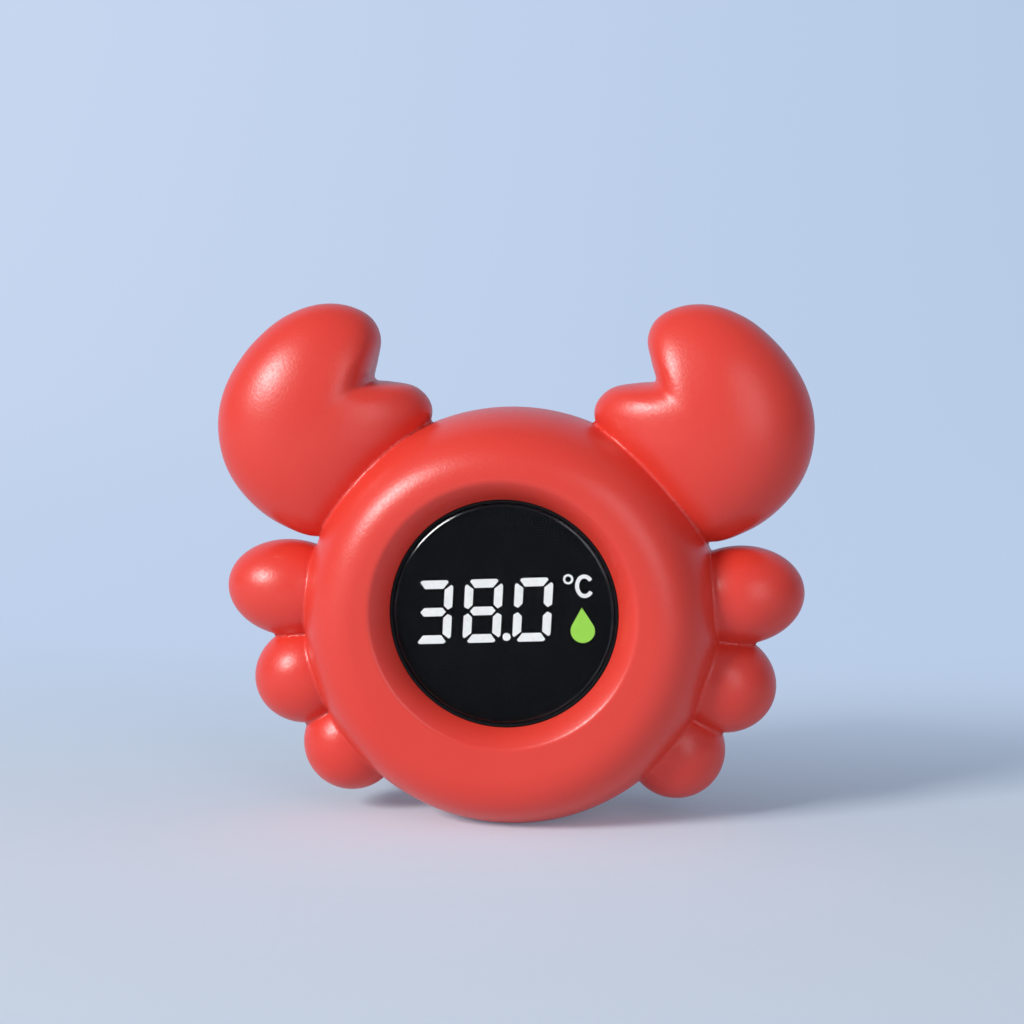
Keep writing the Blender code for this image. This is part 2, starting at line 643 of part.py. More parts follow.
def segment_outlines():
    """The seven strokes of a digit about its middle, named a to g as usual."""
    right, top = DIGIT_WIDTH / 2, DIGIT_HEIGHT / 2
    end, tip, nip, inner = 0.8 * STROKE, 0.58 * STROKE, 0.22 * STROKE, 1.17 * STROKE
    half_top = [(right - end, top), (right - tip, top - nip), (right - inner, top - STROKE)]
    half_middle = [(right - inner, STROKE / 2), (right - 0.74 * STROKE, 0),
                   (right - inner, -STROKE / 2)]
    upright = [(right, top - end), (right - nip, top - tip), (right - STROKE, top - inner),
               (right - STROKE, 0.75 * STROKE), (right - STROKE / 2, 0.27 * STROKE),
               (right, 0.56 * STROKE)]

    def flipped(points, across, along):
        return [(across * x, along * z) for x, z in points]

    return {
        "a": half_top + flipped(half_top, -1, 1)[::-1],
        "d": flipped(half_top, 1, -1) + flipped(half_top, -1, -1)[::-1],
        "g": half_middle + flipped(half_middle, -1, 1)[::-1],
        "b": upright,
        "c": flipped(upright, 1, -1),
        "f": flipped(upright, -1, 1),
        "e": flipped(upright, -1, -1),
    }


def on_display(points):
    """Puts points given in the display's own frame where the slightly turned display is."""
    turn = math.radians(DISPLAY_TURN)
    x0, z0 = window_centre()
    return [(x0 + x * math.cos(turn) - z * math.sin(turn),
             z0 + x * math.sin(turn) + z * math.cos(turn)) for x, z in points]


def grown(outline, by):
    """An outline moved outwards by a small distance, corner by corner."""
    area = sum(a[0] * b[1] - b[0] * a[1] for a, b in zip(outline, outline[1:] + outline[:1]))
    sign = 1 if area > 0 else -1
    points = []
    for index, here in enumerate(outline):
        before = Vector(outline[index - 1])
        after = Vector(outline[(index + 1) % len(outline)])
        here = Vector(here)
        into = (here - before).normalized()
        out_of = (after - here).normalized()
        normal_in = Vector((into.y, -into.x)) * sign
        normal_out = Vector((out_of.y, -out_of.x)) * sign
        corner = normal_in + normal_out
        points.append(tuple(here + corner * (by / (1 + normal_in.dot(normal_out)))))
    return points


def arc(centre, radius_x, radius_z, start, end, steps):
    """Points on an arc of an ellipse, from one angle to another."""
    points = []
    for step in range(steps + 1):
        turn = math.radians(start + (end - start) * step / steps)
        points.append((centre[0] + radius_x * math.cos(turn),
                       centre[1] + radius_z * math.sin(turn)))
    return points


def digit_outlines():
    """All the strokes of the three digits in the display's frame."""
    lean = math.tan(math.radians(DIGIT_LEAN))
    outlines = []
    for place in (-1, 0, 1):
        for stroke in segment_outlines().values():
            outlines.append([(DIGITS_X + place * DIGIT_PITCH + x + lean * z, DIGITS_Z + z)
                             for x, z in stroke])
    return outlines


def point_outline():
    """The decimal point, between the second digit and the third."""
    foot = DIGITS_Z - DIGIT_HEIGHT / 2 + POINT_RADIUS + POINT_LIFT
    centre = (DIGITS_X + DIGIT_PITCH / 2 + foot * math.tan(math.radians(DIGIT_LEAN)), foot)
    return arc(centre, POINT_RADIUS, POINT_RADIUS, 0, 324, 9)


def letter_outline():
    """The C of the unit, open to the right."""
    centre = (LETTER_X, LETTER_Z)
    wide, tall = LETTER_WIDTH / 2, LETTER_HEIGHT / 2
    outside = arc(centre, wide, tall, 35, 325, 14)
    inside = arc(centre, wide - LETTER_STROKE, tall - LETTER_STROKE, 325, 35, 14)
    return outside + inside


def degree_outline(radius):
    return arc((DEGREE_X, DEGREE_Z), radius, radius, 0, 330, 11)


def droplet_outline():
    """A drop: most of a circle, closed by two straight sides that meet at the tip."""
    side = math.degrees(math.asin(DROPLET_RADIUS / DROPLET_HEIGHT))
    centre = (DROPLET_X, DROPLET_Z)
    round_end = arc(centre, DROPLET_RADIUS, DROPLET_RADIUS, 180 - side, 360 + side, 14)
    return round_end + [(DROPLET_X, DROPLET_Z + DROPLET_HEIGHT)]


def guide_bounds():
    """Left, right, low and high edge of the lit signs in the display's frame, with a margin."""
    lean = math.tan(math.radians(DIGIT_LEAN)) * DIGIT_HEIGHT / 2
    left = DIGITS_X - DIGIT_PITCH - DIGIT_WIDTH / 2 - lean - GUIDE_MARGIN
    right = LETTER_X + LETTER_WIDTH / 2 + GUIDE_MARGIN
    low = DIGITS_Z - DIGIT_HEIGHT / 2 - GUIDE_MARGIN
    high = LETTER_Z + LETTER_HEIGHT / 2 + GUIDE_MARGIN
    return left, right, low, high


def sign_split():
    """Where the digits end and the signs begin, and the height between the sign and the drop."""
    lean = math.tan(math.radians(DIGIT_LEAN)) * DIGIT_HEIGHT / 2
    across = (DIGITS_X + DIGIT_PITCH + DIGIT_WIDTH / 2 + lean + DEGREE_X - DEGREE_RADIUS) / 2
    upright = (DROPLET_Z + DROPLET_HEIGHT + LETTER_Z - LETTER_HEIGHT / 2) / 2
    return across, upright


def make_display(finish):
    """Lens, its seal, the black mask, the light guides and the reflector behind them."""
    lens_edge = LENS_RADIUS - LENS_BEVEL
    lathe("display_lens", [(0, LENS_FRONT), (lens_edge, LENS_FRONT),
                           (LENS_RADIUS, LENS_FRONT + LENS_BEVEL),
                           (LENS_RADIUS, LENS_FRONT + LENS_THICKNESS),
                           (0, LENS_FRONT + LENS_THICKNESS)],
          window_centre(), material=finish["lens"])
    inner = LENS_RADIUS + FIT_GAP
    outer = inner + LENS_SEAL_WIDTH
    lathe("lens_seal", [(inner, LENS_FRONT + LENS_BEVEL), (outer, LENS_FRONT + LENS_BEVEL),
                        (outer, MASK_BACK), (inner, MASK_BACK)],
          window_centre(), material=finish["rubber"], ring=True)

    mask = rod("display_mask", LENS_RADIUS, MASK_FRONT, MASK_BACK, window_centre(), ROUND_STEPS,
               finish["mask"])
    strokes = digit_outlines() + [point_outline(), letter_outline()]
    openings = strokes + [degree_outline(DEGREE_RADIUS), droplet_outline()]
    cut = prism("mask_openings", [on_display(grown(outline, FIT_GAP)) for outline in openings],
                MASK_FRONT - OVERCUT, MASK_BACK + OVERCUT)
    combine(mask, "DIFFERENCE", cut)

    left, right, low, high = guide_bounds()
    across, upright = sign_split()
    gap = FIT_GAP / 2
    plate = [(left, low), (across - gap, low), (across - gap, upright + gap),
             (right, upright + gap), (right, high), (left, high)]
    guide = prism("digit_light_guide", [on_display(plate)], GUIDE_FRONT, GUIDE_BACK,
                  finish["digits"])
    raised = prism("raised_strokes",
                   [on_display(outline) for outline in strokes + [degree_outline(DEGREE_RADIUS)]],
                   MASK_FRONT, (GUIDE_FRONT + GUIDE_BACK) / 2)
    degree_hole = prism("degree_hole", [on_display(degree_outline(DEGREE_RADIUS - DEGREE_STROKE))],
                        MASK_FRONT - OVERCUT, GUIDE_FRONT)
    combine(guide, "UNION", raised)
    combine(guide, "DIFFERENCE", degree_hole)

    drop_plate = [(across + gap, low), (right, low), (right, upright - gap),
                  (across + gap, upright - gap)]
    drop = prism("droplet_light_guide", [on_display(drop_plate)], GUIDE_FRONT, GUIDE_BACK,
                 finish["droplet"])
    raised_drop = prism("raised_droplet", [on_display(droplet_outline())], MASK_FRONT,
                        (GUIDE_FRONT + GUIDE_BACK) / 2)
    combine(drop, "UNION", raised_drop)

    edge = [(left, low), (right, low), (right, high), (left, high)]
    reflector = prism("display_reflector", [on_display(edge)], REFLECTOR_FRONT, REFLECTOR_BACK,
                      finish["reflector"])
    wells = []
    step = (across - left) / 3
    for digit in range(3):
        wells.append((left + digit * step, low, left + (digit + 1) * step, high))
    wells.append((across, upright, right, high))
    wells.append((across, low, right, upright))
    wall = REFLECTOR_WALL
    outlines = []
    for x0, z0, x1, z1 in wells:
        outlines.append([(x0 + wall, z0 + wall), (x1 - wall, z0 + wall),
                         (x1 - wall, z1 - wall), (x0 + wall, z1 - wall)])
    light_wells = prism("light_wells", [on_display(outline) for outline in outlines],
                        REFLECTOR_FRONT - OVERCUT, REFLECTOR_BACK + OVERCUT)
    combine(reflector, "DIFFERENCE", light_wells)


def screw(name, place, seat, length, radius, head, material, steps=12):
    """A pan-head screw driven towards the front, with a cross slot; seat is under its head."""
    top = seat + SCREW_HEAD_HEIGHT
    made = lathe(name, [(0, top), (head * 0.75, top), (head, seat + SCREW_HEAD_HEIGHT / 2),
                        (head, seat), (radius, seat), (radius, seat - length + radius),
                        (0, seat - length)], place, steps, material)
    x, z = place
    slot, half = head * 0.6, head * 0.13
    depth = top - SCREW_HEAD_HEIGHT / 2
    cross = box(f"{name}_cross", (x - slot, depth, z - half), (x + slot, top + 1, z + half))
    upright = box(f"{name}_upright", (x - half, depth, z - slot), (x + half, top + 1, z + slot))
    combine(made, "DIFFERENCE", cross, upright)


def make_electronics(finish):
    """The circuit board with its chip and screws."""
    board = rod("circuit_board", BOARD_RADIUS, BOARD_FRONT, BOARD_BACK, window_centre(),
                MIDDLE_STEPS, finish["board"])
    for word, place in board_screw_places().items():
        hole = rod(f"board_hole_{word}", BOARD_SCREW_RADIUS + FIT_GAP, BOARD_FRONT - 1,
                   BOARD_BACK + 1, place)
        combine(board, "DIFFERENCE", hole)
        screw(f"board_screw_{word}", place, BOARD_BACK + FIT_GAP, BOARD_SCREW_LENGTH,
              BOARD_SCREW_RADIUS, BOARD_SCREW_HEAD, finish["steel"])
    x, z = window_centre()
    chip_front = BOARD_BACK + FIT_GAP
    box("controller_chip", (x - CHIP_SIZE / 2, chip_front, z - CHIP_SIZE / 2),
        (x + CHIP_SIZE / 2, chip_front + CHIP_THICKNESS, z + CHIP_SIZE / 2), finish["chip"])


def make_cell(finish):
    """The coin cell, its contacts, and the door with its seal and screws."""
    centre = door_centre()
    steps = MIDDLE_STEPS
    rim = CELL_RIM
    lathe("coin_cell", [(0, CELL_FRONT), (CELL_RADIUS - 2 * rim, CELL_FRONT),
                        (CELL_RADIUS - rim, CELL_FRONT + rim / 2),
                        (CELL_RADIUS, CELL_FRONT + rim), (CELL_RADIUS, CELL_BACK - rim / 3),
                        (CELL_RADIUS - rim / 3, CELL_BACK), (0, CELL_BACK)],
          centre, steps, finish["steel"])
    half = CONTACT_WIDTH / 2
    inner, outer = plus_contact_span()
    side_prism("cell_plus_contact",
               [(inner, BOARD_BACK + FIT_GAP), (outer, BOARD_BACK + FIT_GAP),
                (outer, CELL_BACK - SEAT_GAP), (inner, CELL_BACK - SEAT_GAP)],
               -half, half, centre, finish["nickel"])
    outer, inner = minus_leg_span()
    lower, upper = CUP_BOTTOM + FIT_GAP, CUP_BOTTOM + FIT_GAP + CONTACT_THICKNESS
    reach = CELL_RADIUS * 0.45
    lift = CELL_FRONT - FIT_GAP - upper
    side_prism("cell_minus_contact",
               [(outer, BOARD_BACK + FIT_GAP), (inner, BOARD_BACK + FIT_GAP), (inner, lower),
                (reach / 2, lower), (reach, lower + lift), (reach, upper + lift),
                (0, upper), (outer, upper)],
               -half, half, centre, finish["nickel"])

    pad = 0.6 * CELL_RADIUS
    door = lathe("battery_door",
                 [(0, HALF_DEPTH), (DOOR_RADIUS - DOOR_EDGE, HALF_DEPTH),
                  (DOOR_RADIUS, HALF_DEPTH - DOOR_EDGE), (DOOR_RADIUS, DOOR_INNER),
                  (pad, DOOR_INNER), (pad, CELL_BACK + FIT_GAP), (0, CELL_BACK + FIT_GAP)],
                 centre, MIDDLE_STEPS, finish["shell"])
    seat = DOOR_INNER + DOOR_SCREW_FLOOR
    start, out = DOOR_SEAT - OVERCUT, HALF_DEPTH + OVERCUT
    for number, angle in enumerate(DOOR_SCREW_ANGLES, 1):
        place = around(angle, DOOR_SCREW_OFFSET, centre)
        shank = DOOR_SCREW_RADIUS + FIT_GAP
        head = DOOR_SCREW_HEAD + FIT_GAP
        hole = lathe(f"door_hole_{number}",
                     [(0, start), (shank, start), (shank, seat), (head, seat), (head, out),
                      (0, out)], place, SMALL_STEPS)
        combine(door, "DIFFERENCE", hole)
        screw(f"door_screw_{number}", place, seat + FIT_GAP / 3, DOOR_SCREW_LENGTH,
              DOOR_SCREW_RADIUS, DOOR_SCREW_HEAD, finish["steel"])
    make_seal_ring("door_seal", DOOR_SEAL_RADIUS, DOOR_SEAL_SECTION,
                   DOOR_SEAT - DOOR_SEAL_SECTION / 2 + FIT_GAP * 1.5, centre, finish["rubber"],
                   steps)


def make_probe(finish):
    """The metal probe cap with its seal, the sensor bead with its lead, and the water pins."""
    centre = probe_centre()
    flange_top = PROBE_END - FIT_GAP
    flange_end = flange_top - PROBE_FLANGE_THICKNESS
    crown = PROBE_RADIUS * 0.3
    bore = PROBE_RADIUS - PROBE_WALL
    lathe("probe_cap",
          [(0, PROBE_TOP), (PROBE_RADIUS * 0.6, PROBE_TOP - crown * 0.25),
           (PROBE_RADIUS * 0.9, PROBE_TOP - crown * 0.7), (PROBE_RADIUS, PROBE_TOP - crown * 1.4),
           (PROBE_RADIUS, flange_top), (PROBE_FLANGE, flange_top), (PROBE_FLANGE, flange_end),
           (bore, flange_end), (bore, PROBE_TOP - crown * 1.5),
           (bore * 0.6, PROBE_TOP - crown * 0.6 - PROBE_WALL),
           (0, PROBE_TOP - crown * 0.3 - PROBE_WALL)],
          centre, 24, finish["steel"])
    make_seal_ring("probe_seal", PROBE_RADIUS + PROBE_SEAL_SECTION / 2 + FIT_GAP,
                   PROBE_SEAL_SECTION, PROBE_END + PROBE_SEAL_SECTION / 2 + FIT_GAP, centre,
                   finish["rubber"], 24)

    bead_y = PROBE_TOP - crown * 0.3 - PROBE_WALL - SENSOR_RADIUS - SEAT_GAP
    bm = bmesh.new()
    bmesh.ops.create_uvsphere(bm, u_segments=12, v_segments=8, radius=SENSOR_RADIUS * MM,
                              matrix=Matrix.Translation(metres(centre[0], bead_y, centre[1])))
    new_object("temperature_sensor", bm, finish["bead"])

    start = (centre[0], bead_y - SENSOR_RADIUS - FIT_GAP, centre[1])
    end = (centre[0], BOARD_BACK + FIT_GAP, LEAD_END)
    curve = bpy.data.curves.new("sensor_lead", "CURVE")
    curve.dimensions = "3D"
    curve.bevel_depth = LEAD_RADIUS * MM
    curve.bevel_resolution = 2
    curve.use_fill_caps = True
    curve.resolution_u = 1
    curve.render_resolution_u = 0
    spline = curve.splines.new("POLY")
    count = 12
    spline.points.add(count)
    for index, point in enumerate(spline.points):
        share = index / count
        ease = share * share * (3 - 2 * share)
        y = start[1] + (end[1] - start[1]) * share
        z = start[2] + (end[2] - start[2]) * ease
        point.co = (*metres(start[0], y, z), 1)
    lead = bpy.data.objects.new("sensor_lead", curve)
    bpy.context.scene.collection.objects.link(lead)
    curve.materials.append(finish["lead"])

    for word, place in pin_places().items():
        seat = HALF_DEPTH - PIN_HEAD_HEIGHT
        lathe(f"water_pin_{word}",
              [(0, HALF_DEPTH), (PIN_HEAD - PIN_EDGE, HALF_DEPTH), (PIN_HEAD, HALF_DEPTH - PIN_EDGE),
               (PIN_HEAD, seat), (PIN_RADIUS, seat), (PIN_RADIUS, BOARD_BACK + FIT_GAP),
               (0, BOARD_BACK + FIT_GAP)], place, SMALL_STEPS, finish["steel"])


def main():
    for item in list(bpy.data.objects):
        bpy.data.objects.remove(item, do_unlink=True)
    finish = make_materials()
    outer, front_hollow, rear_hollow = make_forms()
    make_front_shell(finish, outer, front_hollow)
    make_rear_shell(finish, outer, rear_hollow)
    make_seal_ring("body_seal", SEAL_RADIUS, SEAL_SECTION,
                   SEAL_SECTION / 2 + PARTING_GAP / 4, (0, 0), finish["rubber"], MIDDLE_STEPS)
    for number, angle in enumerate(SHELL_SCREW_ANGLES, 1):
        screw(f"shell_screw_{number}", around(angle, SHELL_SCREW_OFFSET),
              SHELL_SCREW_SEAT + FIT_GAP, SHELL_SCREW_LENGTH, SHELL_SCREW_RADIUS,
              SHELL_SCREW_HEAD, finish["steel"])
    make_display(finish)
    make_electronics(finish)
    make_cell(finish)
    make_probe(finish)


main()
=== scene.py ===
# %% [markdown]
# # A crab-shaped bath thermometer in Blender
#
# The finished part is a hollow coral-red plastic crab that stands on the edge of a bath. It has
# a round black window with three lit digits, a unit sign and a small green drop. This lesson
# dresses the measured model: fine moulded skins, a clear window, lit light guides, and the
# finishes of the pieces inside. Lengths are typed in millimetres and turned into metres where a
# mesh is made, because a bath toy is easier to think of in millimetres.

# %% Load the measured model
import math

import bmesh
import bpy
import numpy as np
from mathutils import Matrix, Vector


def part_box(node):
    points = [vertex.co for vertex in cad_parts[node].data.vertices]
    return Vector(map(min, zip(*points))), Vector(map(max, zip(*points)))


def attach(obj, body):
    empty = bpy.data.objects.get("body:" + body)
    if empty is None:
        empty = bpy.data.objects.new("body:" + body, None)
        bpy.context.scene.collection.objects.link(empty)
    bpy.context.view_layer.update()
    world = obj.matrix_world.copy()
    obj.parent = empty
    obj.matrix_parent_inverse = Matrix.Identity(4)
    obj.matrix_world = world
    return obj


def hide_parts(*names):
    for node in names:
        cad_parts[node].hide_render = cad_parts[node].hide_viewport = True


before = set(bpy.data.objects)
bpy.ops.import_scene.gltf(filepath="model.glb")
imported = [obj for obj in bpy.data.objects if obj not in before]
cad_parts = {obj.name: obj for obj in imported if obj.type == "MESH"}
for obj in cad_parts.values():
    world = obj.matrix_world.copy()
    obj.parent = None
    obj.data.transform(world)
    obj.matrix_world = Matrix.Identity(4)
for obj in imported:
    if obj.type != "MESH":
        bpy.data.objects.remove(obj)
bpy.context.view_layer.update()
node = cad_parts
MM = 0.001
print("pieces in the model:", len(node))

# %% [markdown]
# ## Sizes that the pieces share
#
# The body is a thick disc with a rounded edge. Its middle stands a little less than its radius
# above the ground, because a narrow flat is cut underneath. The front and back halves meet in a
# plane through the middle, so Y = 0 is the parting plane and the display faces -Y.

# %% Sizes of the body, in millimetres
BODY_RADIUS = 38.75
HALF_DEPTH = 18.0
SHOULDER = 12.0
CREST_RADIUS = BODY_RADIUS - SHOULDER
SQUARENESS = 2.2
STANDING_FLAT = 16.0
BODY_HEIGHT = math.sqrt(BODY_RADIUS ** 2 - (STANDING_FLAT / 2) ** 2)
PARTING_HALF_GAP = 0.09
WINDOW_RISE = 2.4
DOOR_RISE = 6.0


def metres(x, y, z):
    """A point given in millimetres from the body's centre, in metres above the ground."""
    return Vector((x, y, z + BODY_HEIGHT)) * MM


def around(angle, distance, centre=(0.0, 0.0)):
    """The x and z of a point at an angle in degrees round a centre."""
    turn = math.radians(angle)
    return (centre[0] + distance * math.cos(turn), centre[1] + distance * math.sin(turn))


print("height of the body's centre:", round(BODY_HEIGHT, 2), "mm")

# %% [markdown]
# ## Making and joining meshes
#
# Three small tools are enough for most of this object. One closes a bmesh into an object. One
# turns a profile round an axis, as a potter does, which suits a lens, a ring or a screw. One
# draws an outline out into a plate, which suits digits. A Boolean then cuts or joins them, and
# its result is kept as a plain mesh so that the next step is quick. Bends sharper than
# EDGE_ANGLE degrees are drawn crisp, and only those above SHELL_EDGE_ANGLE on the shells.

# %% Mesh tools
EDGE_ANGLE = 35
SHELL_EDGE_ANGLE = 48


def placed(name, data):
    """A new object in the scene that holds some data."""
    made = bpy.data.objects.new(name, data)
    bpy.context.scene.collection.objects.link(made)
    return made


def finish_mesh(name, bm, sharp=EDGE_ANGLE):
    """Closes a bmesh into an object that is smooth but for its sharp edges."""
    bmesh.ops.remove_doubles(bm, verts=bm.verts, dist=1e-8)
    bmesh.ops.recalc_face_normals(bm, faces=bm.faces)
    mesh = bpy.data.meshes.new(name)
    bm.to_mesh(mesh)
    bm.free()
    mesh.shade_smooth()
    mesh.set_sharp_from_angle(angle=math.radians(sharp))
    return placed(name, mesh)


def spun(bm, profile, centre=(0.0, 0.0), steps=96, ring=False):
    """Turns a profile of (radius, y) points round an axis along Y, in a bmesh."""
    verts = [bm.verts.new(metres(centre[0] + radius, y, centre[1])) for radius, y in profile]
    edges = [bm.edges.new(pair) for pair in zip(verts, verts[1:])]
    if ring:
        edges.append(bm.edges.new((verts[-1], verts[0])))
    bmesh.ops.spin(bm, geom=verts + edges, cent=metres(centre[0], 0, centre[1]), axis=(0, 1, 0),
                   dvec=(0, 0, 0), angle=math.tau, steps=steps, use_merge=True)


def turned(name, profile, centre=(0.0, 0.0), steps=96, ring=False, sharp=EDGE_ANGLE):
    """A piece turned from a profile of (radius, y) points."""
    bm = bmesh.new()
    spun(bm, profile, centre, steps, ring)
    return finish_mesh(name, bm, sharp)


def drawn_out(name, outlines, low, high):
    """Draws one or more outlines of (x, z) points out along Y into plates."""
    bm = bmesh.new()
    for outline in outlines:
        face = bm.faces.new([bm.verts.new(metres(x, low, z)) for x, z in outline])
        grown = bmesh.ops.extrude_face_region(bm, geom=[face])["geom"]
        moved = [item for item in grown if isinstance(item, bmesh.types.BMVert)]
        bmesh.ops.translate(bm, vec=Vector((0, high - low, 0)) * MM, verts=moved)
    return finish_mesh(name, bm)


def block(name, low, high):
    """A block between two corners."""
    rectangle = [(low[0], low[2]), (high[0], low[2]), (high[0], high[2]), (low[0], high[2])]
    return drawn_out(name, [rectangle], low[1], high[1])


def baked(piece):
    """Replaces a piece's mesh by what its modifiers make of it."""
    graph = bpy.context.evaluated_depsgraph_get()
    mesh = bpy.data.meshes.new_from_object(piece.evaluated_get(graph))
    piece.modifiers.clear()
    piece.data = mesh
    return piece


def shaped(piece, operation, *cutters, solver="MANIFOLD", sharp=EDGE_ANGLE):
    """Cuts or joins a piece with others, keeps the result and removes the others."""
    for cutter in cutters:
        boolean = piece.modifiers.new(cutter.name, "BOOLEAN")
        boolean.operation = operation
        boolean.solver = solver
        boolean.object = cutter
    baked(piece)
    for cutter in cutters:
        bpy.data.objects.remove(cutter, do_unlink=True)
    piece.data.shade_smooth()
    piece.data.set_sharp_from_angle(angle=math.radians(sharp))
    return piece


def rounded(turn, across, deep):
    """A point on a rounded section: turn runs from 0 at its rim to 90 degrees at its crest."""
    angle = math.radians(turn)
    power = 2 / SQUARENESS
    return (across * math.cos(angle) ** power if turn < 90 else 0.0,
            deep * math.sin(angle) ** power if turn > 0 else 0.0)


def arc(centre, radius, start, end, steps, squash=1.0):
    """Points on an arc, from one angle in degrees to another."""
    points = []
    for step in range(steps + 1):
        turn = math.radians(start + (end - start) * step / steps)
        points.append((centre[0] + radius * math.cos(turn),
                       centre[1] + radius * squash * math.sin(turn)))
    return points


print("mesh tools ready")

# %% [markdown]
# ## The outline of a claw
#
# Each claw is a plump mitten with a notch between its two fingers. It is described by how far
# its outline lies from the middle of the palm at a few angles, with a smooth curve through those
# points. A second, blurred outline has no notch: the surface follows the blurred one in the
# middle of the claw and the sharp one at its rim, so the notch fades into a soft trough.

# %% Claws and legs as numbers
CLAW_ANGLE = 42.2
CLAW_BEYOND = 12.55
CLAW_HALF_DEPTH = 12.5
CLAW_FADE = 1.8
CLAW_SOFTENING = 40
CLAW_OUTLINE = (
    (0, 17.3), (38, 18.0), (60, 19.4), (80, 21.6), (97, 23.4), (110, 24.0), (120, 23.5),
    (128, 21.4), (134, 17.9), (141, 14.9), (149, 17.2), (159, 21.5), (170, 23.2), (182, 21.6),
    (202, 18.2), (222, 17.6), (243, 19.0), (264, 20.3), (286, 18.9), (310, 17.8), (335, 17.4),
)
PALM = around(CLAW_ANGLE, BODY_RADIUS + CLAW_BEYOND)
# angle round the body, distance beyond its outline, half length, half height, half depth
LEGS = ((5.9, 3.25, 12.2, 9.15, 9.3), (-17.1, 1.85, 10.3, 9.3, 9.0),
        (-39.0, 0.65, 9.15, 9.15, 8.7))


def claw_radius(angle):
    """Radius of the claw's outline at an angle, on a smooth curve through CLAW_OUTLINE."""
    count = len(CLAW_OUTLINE)
    angle = angle % 360
    index = max(k for k in range(count) if CLAW_OUTLINE[k][0] <= angle)
    knots = []
    for k in range(index - 1, index + 3):
        place, radius = CLAW_OUTLINE[k % count]
        knots.append((place + 360 * (k // count), radius))
    (a0, r0), (a1, r1), (a2, r2), (a3, r3) = knots
    share = (angle - a1) / (a2 - a1)
    slope1 = (r2 - r0) / (a2 - a0) * (a2 - a1)
    slope2 = (r3 - r1) / (a3 - a1) * (a2 - a1)
    square, cube = share ** 2, share ** 3
    return ((2 * cube - 3 * square + 1) * r1 + (cube - 2 * square + share) * slope1
            + (3 * square - 2 * cube) * r2 + (cube - square) * slope2)


ANGLES = np.arange(0.0, 360.0, 1.0)
SHARP_RADII = np.array([claw_radius(angle) for angle in ANGLES])
SOFT_RADII = sum(np.roll(SHARP_RADII, k) for k in range(-CLAW_SOFTENING, CLAW_SOFTENING + 1))
SOFT_RADII = SOFT_RADII / (2 * CLAW_SOFTENING + 1)
print("claw outline in mm: notch", round(SHARP_RADII.min(), 1), "finger", SHARP_RADII.max())

# %% [markdown]
# ## How far a point is from the skin
#
# The moulded skin is one surface in which the limbs run into the body with a fine fillet. A
# Boolean union would leave a knife-sharp valley there, and a bevel on such a valley is fragile.
# So each form gets a formula that is 0 on its surface, negative inside and positive outside.
# Dividing by the slope of the formula turns it into a distance. Blending the smallest distances
# where two forms meet gives the fillet, with a radius of about FILLET.

# %% Distance to the skin
FILLET = 0.5


def body_level(p):
    across = np.maximum(np.hypot(p[:, 0], p[:, 2]) - CREST_RADIUS, 0.0) / SHOULDER
    deep = np.abs(p[:, 1]) / HALF_DEPTH
    return (across ** SQUARENESS + deep ** SQUARENESS) ** (1 / SQUARENESS) - 1


def leg_level(p, side, leg):
    angle, beyond, half_length, half_height, half_depth = leg
    x, z = around(angle, BODY_RADIUS + beyond)
    cos, sin = math.cos(math.radians(angle)), math.sin(math.radians(angle))
    dx, dz = side * p[:, 0] - x, p[:, 2] - z
    along, over = dx * cos + dz * sin, dz * cos - dx * sin
    return np.sqrt((along / half_length) ** 2 + (over / half_height) ** 2
                   + (p[:, 1] / half_depth) ** 2) - 1


def claw_level(p, side):
    dx, dz = side * p[:, 0] - PALM[0], p[:, 2] - PALM[1]
    reach = np.hypot(dx, dz)
    angle = np.degrees(np.arctan2(dz, dx))
    sharp = np.interp(angle, ANGLES, SHARP_RADII, period=360)
    soft = np.interp(angle, ANGLES, SOFT_RADII, period=360)
    share = reach / sharp
    for _ in range(7):
        value = share * soft + (sharp - soft) * share ** (CLAW_FADE + 1) - reach
        slope = soft + (CLAW_FADE + 1) * (sharp - soft) * share ** CLAW_FADE
        share = np.clip(share - value / np.maximum(slope, 4.0), 0.0, 1.6)
    deep = np.abs(p[:, 1]) / CLAW_HALF_DEPTH
    return (share ** SQUARENESS + deep ** SQUARENESS) ** (1 / SQUARENESS) - 1


FORMS = [body_level]
for side in (1, -1):
    FORMS.append(lambda p, side=side: claw_level(p, side))
    for leg in LEGS:
        FORMS.append(lambda p, side=side, leg=leg: leg_level(p, side, leg))


def skin_distance(p):
    """Distance in mm from each point to the skin, and the direction in which it grows."""
    step = 0.02
    total = None
    for level in FORMS:
        slope = np.empty_like(p)
        for axis in range(3):
            ahead, behind = p.copy(), p.copy()
            ahead[:, axis] += step
            behind[:, axis] -= step
            slope[:, axis] = (level(ahead) - level(behind)) / (2 * step)
        size = np.maximum(np.linalg.norm(slope, axis=1), 1e-4)
        distance, way = level(p) / size, slope / size[:, None]
        if total is None:
            total, total_way = distance, way
            continue
        mix = np.clip(0.5 + 0.5 * (total - distance) / FILLET, 0.0, 1.0)
        total = total * (1 - mix) + distance * mix - FILLET * mix * (1 - mix)
        total_way = total_way * (1 - mix)[:, None] + way * mix[:, None]
    size = np.maximum(np.linalg.norm(total_way, axis=1), 1e-4)
    return total, total_way / size[:, None]


print("forms in the skin:", len(FORMS))

# %% [markdown]
# ## From rough lumps to one smooth skin
#
# The skin starts as rough lumps: a turned body, two claws and six stretched balls, all in one
# mesh and overlapping. A voxel remesh melts them into a single closed surface of small even
# squares. Every corner of those squares is then moved along the distance formula until it lies
# on the skin, which takes a few steps. The same lumps, made smaller first and moved to
# CORE_DEPTH below the skin, give the core that is used further on to hollow the shells. Made
# smaller, they stand apart where the valleys are, so that no face bridges a valley.

